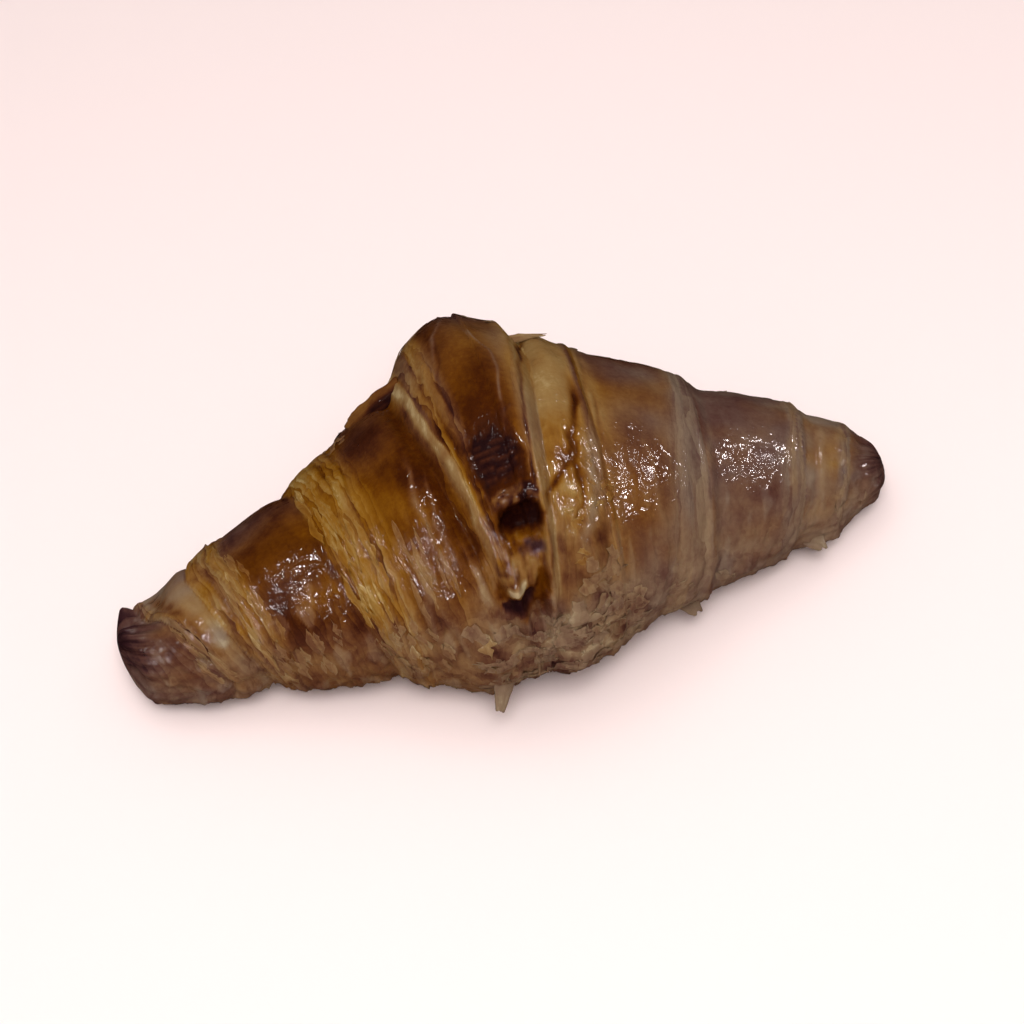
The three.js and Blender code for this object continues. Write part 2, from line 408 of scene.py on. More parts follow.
@dataclass(frozen=True)
class DoughForm:
    """The rolled form, in millimetres and degrees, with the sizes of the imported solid."""

    half_length: float = 86.0
    tip_round: float = 8.5
    core_middle: float = 29.4
    core_left_tip: float = 11.2
    core_right_tip: float = 8.4
    core_left_slack: float = -3.3
    core_round: float = 6.0
    swell_height: float = 2.5
    swell_along: float = 14.0
    rise_middle: float = 8.2
    rise_tip: float = 1.2
    flat_middle: float = 0.78
    flat_tip: float = 0.92
    seat: float = 0.88
    base_round: float = 1.6
    bow_middle: float = -2.1
    bow_left: tuple[float, float] = (-8.3, 8.0)
    bow_right: tuple[float, float] = (-2.7, 2.6)
    hook_power: int = 10
    back_angle: float = 70.0
    front_angle: float = 180.0
    shoulder_power: float = 2.2
    puff_power: float = 0.9
    puff_least: float = 3.0
    tongue_end: float = 172.0
    tongue_fade: float = 10.0
    tongue_half_least: float = 1.5
    rim_low: float = 1.5
    rim_high: float = 3.6
    rim_grows: tuple[float, float] = (-90, 30)
    rim_sinks: tuple[float, float] = (55, 165)
    dome_height: float = 0.6
    dome_shown: tuple[float, ...] = (-40, 30, 70, 105)
    trough_depth: float = 3.4
    trough_opens: tuple[float, float] = (95, 112)
    unevenness: float = 0.7
    lane_angle: float = 110.0
    lane_least: float = 0.3
    left_turns: tuple[Turn, ...] = (
        Turn((76, 61), (78, 63.5), 1.7, 0.8, TurnLook(0.33, 0.55), TurnLook(0.46, 0.5), 1, 0.30, 0.3, 0.0),
        Turn((60, 49.5), (68.5, 57), 4.3, 1.0, TurnLook(0.65, 0.0), TurnLook(0.37, 0.30), 4, 0.80, 0.4, 0.10),
        Turn((32, 23), (43, 31.5), 4.1, 2.2, TurnLook(0.60, 0.0), TurnLook(0.34, 0.0), 4, 0.75, 0.40, 0.12),
        Turn((9.5, 3.5), (18, 6), 0.0, 2.6, TurnLook(0.63, 0.0), TurnLook(0.38, 0.35), 4, 0.60, 0.25, 0.05),
    )
    right_turns: tuple[Turn, ...] = (
        Turn((77, 68), (79, 71), 1.3, 0.6, TurnLook(0.42, 0.85), TurnLook(0.38, 0.9), 1, 0.25, 0.6, 0.0,
             0.5, 1.5),
        Turn((65.5, 53), (68.5, 59), 3.0, 0.8, TurnLook(0.55, 0.9), TurnLook(0.36, 0.9), 2, 0.35, 0.6, 0.0,
             0.5, 1.5),
        Turn((40.5, 27), (44.5, 37.5), 4.2, 1.6, TurnLook(0.55, 0.45), TurnLook(0.36, 0.9), 2, 0.35, 0.6, 0.0,
             0.5, 1.5),
        Turn((19, 14), (20.5, 16.5), 1.6, 1.8, TurnLook(0.38, 0.05), TurnLook(0.44, 0.2), 1, 0.05, 0.4, 0.0,
             0.9, 2.4),
        Turn((7, -0.5), (11, 1.0), 0.0, 1.2, TurnLook(0.50, 0.10), TurnLook(0.23, 0.25), 2, 0.20, 0.6, 0.0),
    )
    lumps: tuple[Lump, ...] = (
        Lump(-2.5, 124, 4, 4, 2.4), Lump(-3, 138, 4, 3.5, 1.6), Lump(-4.5, 148, 3.2, 5, 1.8),
        Lump(17, 78, 6, 24, 1.8), Lump(-66, 205, 7, 40, 2.2), Lump(-46, 205, 12, 40, -1.2),
        Lump(-5, 210, 11, 40, 0.7), Lump(24, 210, 8, 40, -2.6), Lump(36, 210, 8, 40, 1.0),
        Lump(68, 208, 7, 34, 1.9), Lump(79, 210, 5, 40, -1.6), Lump(-79, 58, 7, 42, -5.0),
        Lump(-69, 55, 5, 40, 2.4), Lump(-56, 55, 8, 40, -2.0), Lump(-30, 55, 7, 40, -1.9),
        Lump(-9, 50, 8, 35, 2.2), Lump(4, 52, 7, 35, -3.8), Lump(22, 45, 8, 35, 2.0),
    )

    def turns(self, side: Side) -> tuple[Turn, ...]:
        """Give one side's turns, from the tip to the middle."""
        return self.left_turns if side is Side.LEFT else self.right_turns

    def reach(self, side: Side, edge: Edge, angle: Array, turn: int) -> Array:
        """Find how far from the middle a turn's lip or foot lies.

        Args:
            side: the half of the roll.
            edge: the lip or the foot.
            angle: angles round the body, in degrees.
            turn: the turn's number, counted from the tip.

        Returns:
            Distances from the middle, in millimetres.
        """
        stops, reaches = [], []
        for number, entry in enumerate(self.turns(side)):
            stops += [self.back_angle + 360 * number, self.front_angle + 360 * number]
            reaches += getattr(entry, edge.value)
        rolled = angle + 360.0 * turn
        slope = (reaches[0] - reaches[1]) / (stops[1] - stops[0])
        before = reaches[0] + 0.5 * slope * (stops[0] - rolled)
        return np.where(rolled < stops[0], before, np.interp(rolled, stops, reaches))

    def edge(self, side: Side, edge: Edge, angle: Array, turn: int) -> Array:
        """Give a turn's lip or foot as places along x."""
        return side.value * self.reach(side, edge, angle, turn)

    def edge_places(self, angle: Array) -> list[Array]:
        """List every foot and lip, from the left tip to the right.

        Args:
            angle: angles round the body.

        Returns:
            Places along x.
        """
        left = [self.edge(Side.LEFT, edge, angle, number)
                for number in range(len(self.left_turns)) for edge in (Edge.FOOT, Edge.LIP)]
        right = [self.edge(Side.RIGHT, edge, angle, number)
                 for number in reversed(range(len(self.right_turns))) for edge in (Edge.LIP, Edge.FOOT)]
        return [self.half_length * -1.1, *left, *right, self.half_length * 1.1]

    def tongue_edges(self, angle: Array) -> tuple[Array, ...]:
        """Give the tongue's left foot, left lip, right lip and right foot as places along x."""
        middle = 2 * len(self.left_turns) + 1
        return tuple(self.edge_places(angle)[middle - 2:middle + 2])

    def lane(self, x: Array, angle: Array) -> Array:
        """Measure across the turns, so that a lane follows the roll.

        Args:
            x: places along the body.
            angle: angles round it.

        Returns:
            Lanes, in millimetres as they lie at the lane angle.
        """
        total = np.zeros(np.broadcast(x, angle).shape)
        here, there = self.edge_places(angle), self.edge_places(np.array(self.lane_angle))
        for number in range(len(here) - 1):
            width = np.maximum(here[number + 1] - here[number], self.lane_least)
            share = np.clip((x - here[number]) / width, 0, 1)
            total += share * (there[number + 1] - there[number])
        return total

    def core_radius(self, x: Array) -> Array:
        """Give the plain cone under the turns.

        Args:
            x: places along the body.

        Returns:
            Radii there.
        """
        t = np.minimum(np.hypot(x, self.core_round) / self.half_length, 1.0)
        tip = np.where(x < 0, self.core_left_tip, self.core_right_tip)
        slack = np.where(x < 0, self.core_left_slack * 4 * t * (1 - t), 0.0)
        return mix(self.core_middle, tip, t) + slack

    def middle_swell(self, x: Array) -> Array:
        """Give the extra fullness of the middle."""
        return self.swell_height * bell(x, self.swell_along)

    def wrap_rise(self, side: Side, x: Array, angle: Array) -> Array:
        """Add up the shoulders at the cut edges and the swells between them.

        Args:
            side: the half of the roll.
            x: places along the body.
            angle: angles round it.

        Returns:
            Heights over the cone.
        """
        away = np.abs(x)
        rise = np.zeros(np.broadcast(x, angle).shape)
        for number, turn in enumerate(self.turns(side)[:-1]):
            lip = self.reach(side, Edge.LIP, angle, number)
            foot = self.reach(side, Edge.FOOT, angle, number)
            next_foot = self.reach(side, Edge.FOOT, angle, number + 1)
            down = np.clip((away - lip) / (foot - lip), 0, 1) ** self.shoulder_power
            across = np.clip((away - next_foot) / np.maximum(lip - next_foot, self.puff_least), 0, 1)
            rise += turn.drop * (1 - down) + turn.puff * np.sin(np.pi * across ** self.puff_power)
        return rise

    def tongue_rise(self, x: Array, angle: Array) -> Array:
        """Raise the tongue's rim and dome, and sink its trough.

        Args:
            x: places along the body.
            angle: angles round it.

        Returns:
            Heights over the cone.
        """
        edges = self.tongue_edges(angle)
        _, left_lip, right_lip, _ = edges
        fade = 1 - ease(self.tongue_end - self.tongue_fade, self.tongue_end, angle)
        rim = self.rim_low + self.rim_high * (1 - ease(*self.rim_sinks, angle))
        rim = rim * ease(*self.rim_grows, angle) * fade
        half = np.maximum((right_lip - left_lip) / 2, self.tongue_half_least)
        across = np.clip(1 - ((x - (left_lip + right_lip) / 2) / half) ** 2, 0, 1)
        dome = self.dome_height * window(angle, self.dome_shown)
        trough = self.trough_depth * ease(*self.trough_opens, angle) * fade
        return rim * window(x, edges) + (dome - trough) * across

    def lump_rise(self, x: Array, angle: Array) -> Array:
        """Add up the swells and hollows."""
        return sum(lump.height * lump.share(x, angle) for lump in self.lumps)

    def uneven_rise(self, x: Array, angle: Array) -> Array:
        """Give the long slow unevenness of hand-rolled dough, as three waves."""
        a = np.radians(angle)
        return self.unevenness * (0.55 * np.sin(0.121 * x + 1.7 * np.cos(a) + 0.4)
                                  + 0.45 * np.sin(0.205 * x - 2.0 * np.sin(a + 0.7) + 2.1)
                                  + 0.35 * np.sin(3 * a + 0.07 * x))

    def closure(self, x: Array) -> Array:
        """Close each tip with a round end."""
        past = np.clip((np.abs(x) - (self.half_length - self.tip_round)) / self.tip_round, 0, 1)
        return np.sqrt(np.maximum(1 - past ** 2, 0))

    def radius(self, x: Array, angle: Array) -> Array:
        """Give the open radius before the tips close."""
        wraps = np.where(x < 0, self.wrap_rise(Side.LEFT, x, angle), self.wrap_rise(Side.RIGHT, x, angle))
        return (self.core_radius(x) + self.middle_swell(x) + wraps + self.tongue_rise(x, angle)
                + self.lump_rise(x, angle) + self.uneven_rise(x, angle))

    def place(self, x: Array, angle: Array, radius: Array) -> Array:
        """Turn places along, angles and radii into points.

        Args:
            x: places along the body.
            angle: angles round it, in degrees.
            radius: radii there.

        Returns:
            Points in millimetres, resting on the flat base.
        """
        t = np.minimum(np.abs(x) / self.half_length, 1.0)
        squash = mix(self.flat_middle, self.flat_tip, t ** 2)
        outer = self.core_radius(x) + self.middle_swell(x) + mix(self.rise_middle, self.rise_tip, t)
        bend = np.where(x < 0, self.bow_left[0], self.bow_right[0])
        hook = np.where(x < 0, self.bow_left[1], self.bow_right[1])
        middle_y = self.bow_middle + bend * t ** 2 + hook * t ** self.hook_power
        a = np.radians(angle)
        y = middle_y + radius * np.cos(a)
        z = squash * (self.seat * outer + radius * np.sin(a))
        r = self.base_round
        z = np.where(z < -r, 0.0, np.where(z < r, (z + r) ** 2 / (4 * r), z))
        return np.stack(np.broadcast_arrays(x, y, z), axis=-1)

    def point(self, x: float, angle: float) -> Array:
        """Give one finished surface point, in millimetres."""
        x_at, angle_at = np.array(float(x)), np.array(float(angle))
        return self.place(x_at, angle_at, self.radius(x_at, angle_at) * self.closure(x_at))


@dataclass
class CrustMaps:
    """Everything the crust needs at each point: relief in millimetres and masks from 0 to 1."""

    x: Array
    angle: Array
    lane: Array
    rise: Array
    tip_rise: Array
    bake: Array
    wash: Array
    dust: Array
    cool: Array
    layers: Array

    @classmethod
    def plain(cls, form: DoughForm, x: Array, angle: Array) -> "CrustMaps":
        """Start with no relief, no colour and an even egg wash.

        Args:
            form: the form that the crust covers.
            x: places along the body.
            angle: angles round it.

        Returns:
            The plain maps.
        """
        rise, tip_rise, bake, dust, cool, layers = (np.zeros(x.shape) for _ in range(6))
        wash = np.full(x.shape, PLAIN_WASH)
        return cls(x, angle, form.lane(x, angle), rise, tip_rise, bake, wash, dust, cool, layers)

    def tint(self, share: Array, bake: Array | float | None = None, wash: float | None = None,
             cool: float | None = None, dust: float | None = None) -> None:
        """Move the masks towards new values.

        Args:
            share: how far, from 0 to 1, at each point.
            bake: new browning, from 0 pale to 1 burnt.
            wash: new gloss.
            cool: new cool tint, for duller crust and painted sheen.
            dust: new dustiness.
        """
        for name, value in (("bake", bake), ("wash", wash), ("cool", cool), ("dust", dust)):
            if value is not None:
                setattr(self, name, mix(getattr(self, name), value, share))


SEAM = Line((52, 86, 102, 111, 120, 128, 134, 144, 154, 162),
            (11.4, 7.0, 4.5, 4.0, 3.2, 2.4, 1.9, 1.4, -0.5, -2.3), 0.42, -0.6, 0.88, 0.85)


@dataclass(frozen=True)
class TurnSkins:
    """The outer skins of the turns, from tip to tip, and where the egg wash lies thick or thin."""

    left_tip: TurnLook = TurnLook(0.66, 0.80)
    tongue: TurnLook = TurnLook(0.62, 0.0)
    right_tip: TurnLook = TurnLook(0.58, 0.90)
    left_soft: float = 0.5
    seam_soft: float = 0.35
    right_soft: float = 1.2
    back_sheen: float = 0.4
    back_ends: tuple[float, float] = (20, 95)
    glints: tuple[Glint, ...] = (
        Glint(-46, 113, 5, 11, 0.9), Glint(-40, 131, 4, 9, 0.7), Glint(-20, 130, 3, 10, 0.9),
        Glint(-26, 126, 3, 10, 0.8), Glint(-2, 100, 5, 14, -0.6), Glint(9, 112, 4, 14, 0.5),
        Glint(17, 120, 4, 14, 0.8), Glint(28, 119, 6, 12, 0.9), Glint(25, 101, 4, 8, 0.7),
        Glint(51, 117, 7, 10, 1.2), Glint(-79, 130, 4, 14, 1.0), Glint(-71, 122, 5, 18, -0.9),
        Glint(-2, 121.5, 4, 4, 1.0), Glint(-3, 146, 4, 5, 0.8), Glint(-14, 146, 5, 10, 0.7),
    )

    def lay(self, maps: CrustMaps, form: DoughForm) -> None:
        """Give each turn its browning and cool tint, paint a cool sheen over the back and top, and wash the
        crust with egg.

        Args:
            maps: the crust so far, which is changed.
            form: the form under it.
        """
        x, angle = maps.x, maps.angle
        left, right = form.left_turns, form.right_turns
        looks = [self.left_tip, *(turn.crown for turn in left[:-1]), self.tongue,
                 *(turn.crown for turn in right[-2::-1]), self.right_tip]
        edges = [(form.edge(Side.LEFT, Edge.FOOT, angle, number), self.left_soft)
                 for number in range(len(left))]
        edges.append((SEAM.place(angle), self.seam_soft))
        edges += [(form.edge(Side.RIGHT, Edge.FOOT, angle, number), self.right_soft)
                  for number in reversed(range(len(right) - 1))]
        maps.bake += looks[0].bake
        maps.cool += looks[0].cool
        for (edge, soft), before, after in zip(edges, looks, looks[1:]):
            step = ease(edge - soft, edge + soft, x)
            maps.bake += (after.bake - before.bake) * step
            maps.cool += (after.cool - before.cool) * step
        for glint in self.glints:
            maps.wash += glint.gloss * glint.share(x, angle) * (1 - PLAIN_WASH)
        # painted sheen: a cool tint over the back and the top of the crust
        maps.cool += self.back_sheen * (1 - ease(*self.back_ends, angle))


@dataclass(frozen=True)
class Mottling:
    """Clouds, streaks along the roll, rare bare flecks and patches of browning on the skin."""

    clouds: Grain = Grain(11, 9, 17, 5.0)
    streaks: Grain = Grain(11, 3.4, 30, 1.0, 2)
    bends: Grain = Grain(11, 4, 11, octaves=1)
    flecks: Grain = Grain(11, 1.9, 15, 3.0, 2)
    sheen_and_dullness: Grain = Grain(11, 8, 16, 9.0, 2)
    plates: Shards = Shards(12)
    plate_along: float = 3.0
    plate_around: float = 19.0
    fleck_levels: tuple[float, float] = (0.30, 0.75)
    left_ends: tuple[float, float] = (6, 16)
    low_angles: tuple[float, float] = (105, 150)
    right_low: float = 0.35
    right_streaks: float = 0.4
    right_layers: float = 0.3
    cloud_bake: float = 0.10
    cloud_rise: float = 0.28
    cloud_cool: float = 0.3
    streak_bake: float = 0.04
    streak_rise: float = 0.14
    plate_bake: float = 0.03
    plate_rise: tuple[float, float] = (0.10, 0.22)
    fleck_bake: tuple[float, float] = (0.04, 0.24)
    fleck_cool: float = 0.5
    fleck_rise: float = 0.35
    layering: tuple[float, float] = (0.04, 0.36)
    patches: tuple[Patch, ...] = (
        Patch(-27, 52, 9, 13, 0.22), Patch(-14.5, 112, 3, 26, 0.08), Patch(-12, 70, 3, 18, -0.16, 0.3),
        Patch(5.5, 70, 3.5, 22, -0.22, 0.3), Patch(-2, 66, 6, 16, -0.06), Patch(-24, 90, 10, 14, 0.08),
        Patch(-22, 112, 5, 14, -0.03), Patch(-20, 96, 5, 12, 0.08), Patch(-25, 78, 5, 10, 0.06, 0.1),
        Patch(-18, 150, 6, 16, -0.02), Patch(-57, 60, 9, 16, 0.14, 0.5), Patch(-46, 84, 6, 14, 0.10),
        Patch(-43, 128, 4, 10, -0.12), Patch(-44, 152, 5, 9, 0.18), Patch(-51, 150, 5, 16, 0.12),
        Patch(-26, 70, 9, 14, 0.10), Patch(-37, 158, 4, 10, 0.12), Patch(-48, 118, 5, 12, 0.05, 0.25),
        Patch(-37, 66, 6, 12, 0.04, 0.4), Patch(-2, 40, 8, 12, 0.10, 0.5), Patch(-3, 66, 5, 10, -0.04),
        Patch(-2, 84, 5, 7, 0.04), Patch(-1.5, 96, 5, 5, 0.16), Patch(22, 96, 4, 14, -0.05, -0.3),
        Patch(28, 104, 4, 9, 0.12), Patch(36, 122, 3.5, 26, -0.10), Patch(30, 66, 9, 26, 0.02, 0.1),
        Patch(23, 130, 5, 14, -0.04, -0.2), Patch(26, 176, 7, 22, 0.02, 0.5),
        Patch(52, 60, 10, 12, 0.06, 0.2),
        Patch(51, 84, 8, 12, 0.08, 0.1), Patch(50, 112, 4, 9, 0.05, -0.3), Patch(47, 134, 6, 10, 0.07, -0.3),
        Patch(56, 110, 4, 9, 0.06), Patch(41, 150, 4, 26, -0.12), Patch(76, 98, 4, 20, -0.10, -0.4),
        Patch(69, 110, 4, 40, -0.05, -0.3), Patch(-67, 84, 5, 18, -0.12, 0.1),
        Patch(-61, 140, 4, 30, -0.12, 0.1),
        Patch(-72, 160, 4, 10, 0.12, -0.4), Patch(-77, 108, 4, 12, -0.12, -0.2),
    )

    def lay(self, maps: CrustMaps, form: DoughForm) -> None:
        """Mottle the skin and streak it along the roll, most of all low down on the left.

        Args:
            maps: the crust so far, which is changed.
            form: the form under it.
        """
        x, angle, lane = maps.x, maps.angle, maps.lane
        clouds = self.clouds.at(x, angle)
        streaks = self.streaks.at(lane, angle)
        bent = 0.3 * self.bends.at(lane, angle)
        tilt, tone = self.plates.at(lane / self.plate_along + bent, angle / self.plate_around)
        flecks = ease(*self.fleck_levels, self.flecks.at(lane, angle))
        left = 1 - ease(*self.left_ends, x)
        low = ease(*self.low_angles, angle) * mix(self.right_low, 1.0, left)
        maps.bake += (self.cloud_bake * clouds + self.plate_bake * tone * (0.5 + low)
                      + self.streak_bake * (1 + low) * streaks * mix(self.right_streaks, 1.0, left))
        maps.bake += 0.04 * low - (self.fleck_bake[0] + self.fleck_bake[1] * low) * flecks
        maps.cool += self.cloud_cool * self.sheen_and_dullness.at(x, angle) * ease(0.08, 0.3, maps.cool)
        maps.cool += self.fleck_cool * flecks * low
        maps.rise += self.cloud_rise * clouds + self.streak_rise * streaks + self.fleck_rise * flecks * low
        maps.rise += (self.plate_rise[0] + self.plate_rise[1] * low) * tilt
        maps.layers += (self.layering[0] + self.layering[1] * low) * mix(self.right_layers, 1.0, left)
        for patch in self.patches:
            share = patch.share(x, angle)
            maps.bake += patch.bake * share
            maps.cool += patch.cool * share


@dataclass(frozen=True)
class GoldenSkin:
    """The pale puffed skin right of the tongue, which wrinkles lower down."""

    clouds: Grain = Grain(83, 4, 8)
    ripples: Grain = Grain(83, 2.6, 7, 3.0)
    seam_soft: float = 1.5
    puff_ends: tuple[float, float] = (20, 25)
    puff_angles: tuple[float, ...] = (34, 50, 92, 108)
    puff_bake: float = 0.20
    wrinkled_ends: tuple[float, float] = (17, 21)
    wrinkled_angles: tuple[float, ...] = (92, 108, 150, 166)
    wrinkled_bake: float = 0.38
    ripple_bake: float = 0.19
    ripple_rise: float = 0.36
    cloud_rise: float = 0.2
    lower_angles: tuple[float, float] = (118, 140)

    def lay(self, maps: CrustMaps, form: DoughForm) -> None:
        """Puff the skin beside the seam and wrinkle it lower down.

        Args:
            maps: the crust so far, which is changed.
            form: the form under it.
        """
        x, angle = maps.x, maps.angle
        seam = SEAM.place(angle)
        clouds = self.clouds.at(x, angle)
        puff = window(x, (seam, seam + self.seam_soft, *self.puff_ends)) * window(angle, self.puff_angles)
        maps.tint(0.95 * puff, self.puff_bake + 0.06 * clouds, 0.6, 0.25)
        maps.layers *= 1 - 0.8 * puff
        wrinkled = window(x, (seam, seam + self.seam_soft, *self.wrinkled_ends))
        wrinkled = wrinkled * window(angle, self.wrinkled_angles)
        ripple = 1 - 2 * np.abs(self.ripples.at(x, angle))
        lower = ease(*self.lower_angles, angle)
        bake = self.wrinkled_bake + 0.15 * lower - self.ripple_bake * ripple + 0.14 * clouds
        maps.tint(0.85 * wrinkled, bake, 0.6, 0.1 + 0.2 * lower)
        maps.rise += wrinkled * (self.ripple_rise * ripple + self.cloud_rise * clouds)


@dataclass(frozen=True)
class BareLayers:
    """The stacked layers that lie bare between each turn's lip and foot."""

    seed: int = 31
    seed_for_turn: int = 7
    seed_for_side: int = 50
    shard_seed: int = 40
    lip_wander: float = 0.5
    foot_wander: float = 0.25
    layer_wander: float = 0.5
    tongue_angles: tuple[float, ...] = (-60, -30, 150, 166)
    foot_ends: tuple[float, float] = (0.95, 1.02)
    step_part: float = 0.28
    shard_rise: float = 0.3
    tone_bake: float = 0.09
    shadow_bake: float = 0.12
    shard_bake: float = 0.07
    opacity: float = 0.92
    wash: float = 0.42
    wash_kept: float = 0.6
    tone_cool: float = 0.35
    right_layers: float = 0.45

    def lay(self, maps: CrustMaps, form: DoughForm) -> None:
        """Lay bare the layers at every cut edge.

        Args:
            maps: the crust so far, which is changed.
            form: the form under it.
        """
        for side in Side:
            last = len(form.turns(side)) - 1
            for number in range(last + 1):
                shown = window(maps.angle, self.tongue_angles) if number == last else 1.0
                self._lay_edge(maps, form, side, number, shown)

    def _lay_edge(self, maps: CrustMaps, form: DoughForm, side: Side, number: int,
                  shown: Array | float) -> None:
        """Lay bare the layers of one cut edge.

        Args:
            maps: the crust so far, which is changed.
            form: the form under it.
            side: the half of the roll.
            number: the turn's number, counted from the tip.
            shown: how much of the edge shows, from 0 to 1.
        """
        angle, away, turn = maps.angle, maps.x * side.value, form.turns(side)[number]
        noise = LatticeNoise(self.seed + self.seed_for_turn * number + self.seed_for_side * side.value)
        lip = form.reach(side, Edge.LIP, angle, number) + self.lip_wander * noise.at(angle / 30, 1.0)
        foot = form.reach(side, Edge.FOOT, angle, number) + self.foot_wander * noise.at(angle / 14, 9.0)
        down = (away - lip) / (foot - lip)
        bare = shown * window(down, (-turn.soft, 0.6 * turn.soft, *self.foot_ends))
        wander = self.layer_wander * noise.at(down * turn.layers * 0.4, angle / 34)
        stack = (down + turn.soft) * turn.layers + wander
        layer = np.floor(stack)
        part = stack - layer
        strength = np.clip(0.7 + 0.9 * noise.at(layer * 7.3, angle / 21, 2.0), 0.0, 1.5)
        tone = noise.rough(layer * 3.7, angle / 26, 6.0, octaves=2)
        tilt, shard = Shards(self.shard_seed + number).at(stack * 1.4, angle / 15)
        step = ease(0.0, self.step_part, part) - part
        maps.rise += bare * turn.layer_depth * (strength * step + self.shard_rise * tilt)
        maps.rise += turn.fill * turn.drop * bell(away - foot, turn.fill_width) * shown
        shadow = bell(part - 0.05, 0.2) * strength
        bake = turn.band.bake + self.tone_bake * tone + self.shadow_bake * shadow + self.shard_bake * shard
        maps.tint(bare * self.opacity, bake)
        maps.wash = mix(maps.wash, self.wash + self.wash_kept * (maps.wash - PLAIN_WASH), bare)
        maps.cool = mix(maps.cool, turn.band.cool + self.tone_cool * tone, bare)
        maps.layers = np.maximum(maps.layers, bare * (1.0 if side is Side.LEFT else self.right_layers))
        # painted shade: the crust just beyond each turn's foot is darkened
        foot_shade = shown * bell(away - foot - 0.5, 0.8) * (0.5 + 0.8 * noise.at(angle / 11, 5.0))
        maps.bake += turn.foot_shade * np.clip(foot_shade, 0, 1)


@dataclass(frozen=True)
class FoldLines:
    """The rims, folds and cracks that run round the body, from the tongue to both tips."""

    seed: int = 700
    seed_for_line: int = 3
    lines: tuple[Line, ...] = (
        Line((50, 56, 70, 80, 90, 96, 102), (-7.3, -7.3, -7.8, -8.6, -8.0, -7.3, -7.5), 0.45, -0.3,
             0.80, 0.75, wander=0.8),
        Line((59, 74, 91, 103, 117, 127), (-11.0, -11.2, -9.8, -8.3, -7.2, -6.3), 0.45, 0.3, 0.40, 0.6, 0.6),
        Line((56, 74, 91, 103, 117), (-12.4, -12.4, -10.9, -9.2, -8.2), 0.4, -0.25, 0.72, 0.6, wander=0.5),
        Line((62, 70, 74, 82, 90, 95, 100, 104), (-0.5, 1.2, 2.9, 2.8, 1.8, 1.2, 0.8, 0.5), 0.32, 0.28, 0.42,
             0.75, 0.7, 1.0),
        Line((44, 52, 60, 66), (-2.5, -4.5, -7.3, -8.0), 0.4, 0.25, 0.45, 0.6, 0.7, 1.0),
        SEAM,
        Line((133, 139, 145, 154), (3.0, 2.7, 2.2, -0.3), 0.55, 0.7, 0.60, 0.8, 0.8),
        Line((49, 76, 87, 98), (24.0, 21.2, 20.0, 18.7), 0.5, -0.35, 0.55, 0.5),
        Line((84, 90, 101, 109, 116, 121, 124), (17.6, 17.2, 15.0, 12.8, 10.0, 7.2, 4.9), 0.8, -0.9,
             0.80, 1.0, cool=0.0),
        Line((107, 114, 120, 127, 134), (14.4, 12.4, 12.7, 12.4, 10.0), 0.7, -0.7, 0.74, 0.9, cool=0.0),
        Line((106, 117, 124, 133, 139), (17.6, 15.4, 15.4, 12.4, 10.0), 1.5, 0.25, 0.22, 0.75, 0.9, 0.9),
        Line((87, 105, 116, 128, 138, 150, 165), (21.7, 20.0, 18.3, 16.8, 15.6, 14.0, 12.5), 0.5, -0.4,
             0.62, 0.6),
        Line((57, 81, 104, 123, 140), (41.2, 40.4, 38.0, 35.7, 33.8), 0.4, 0.25, 0.36, 0.55, 0.8, 1.0),
        Line((68, 101, 133, 163, 193), (45.8, 44.5, 37.2, 34.7, 32.2), 1.1, 0.1, 0.28, 0.45, cool=0.8),
        Line((106, 114, 130, 146, 160), (28.5, 28.9, 28.0, 28.4, 29.9), 0.7, 0.2, 0.34, 0.45, cool=0.6),
        Line((64, 93, 116, 144, 173, 190), (65.3, 64.0, 62.5, 60.0, 58.9, 56.3), 0.4, 0.25, 0.36, 0.6,
             0.8, 1.0),
        Line((84, 125, 150, 162, 182), (70.9, 67.9, 65.5, 63.1, 60.3), 0.8, 0.2, 0.24, 0.55, cool=0.7),
        Line((84, 125, 150, 162, 182), (69.4, 66.4, 64.2, 62.0, 59.2), 0.5, -0.2, 0.56, 0.4),
        Line((86, 112, 128, 151, 169), (74.9, 74.0, 75.0, 70.8, 65.0), 0.8, 0.2, 0.24, 0.5, cool=0.6),
        Line((76, 118, 142, 167), (81.5, 78.4, 77.9, 76.0), 0.7, -0.3, 0.70, 0.5),
        Line((30, 79, 105, 118, 138, 154, 191), (-77.2, -73.8, -71.0, -68.5, -65.5, -63.4, -58.7), 1.1, -0.35,
             0.68, 0.8, 1.0, 0.2, wander=0.5),
        Line((44, 96, 122, 153, 178), (-81.0, -75.7, -72.2, -66.2, -60.2), 0.6, 0.3, 0.30, 0.5),
        Line((90, 112, 130, 160), (-78.0, -76.3, -73.5, -68.0), 0.45, -0.25, 0.60, 0.5, wander=0.6),
        Line((96, 110, 122, 140), (-19.0, -19.2, -18.6, -17.0), 0.7, 0.25, 0.36, 0.6, 0.9, 0.7, wander=0.5),
        Line((104, 114, 126, 138), (-16.2, -16.8, -16.2, -14.6), 0.5, 0.25, 0.40, 0.5, 1.0, 0.8, wander=0.6),
    )

    def lay(self, maps: CrustMaps, form: DoughForm) -> None:
        """Draw every line.

        Args:
            maps: the crust so far, which is changed.
            form: the form under it.
        """
        for number, line in enumerate(self.lines):
            strength = line.strength(maps.x, maps.angle, self.seed + self.seed_for_line * number)
            maps.rise += line.height * strength
            maps.tint(np.clip(line.opacity * strength, 0, 1), line.bake, line.wash, line.cool)


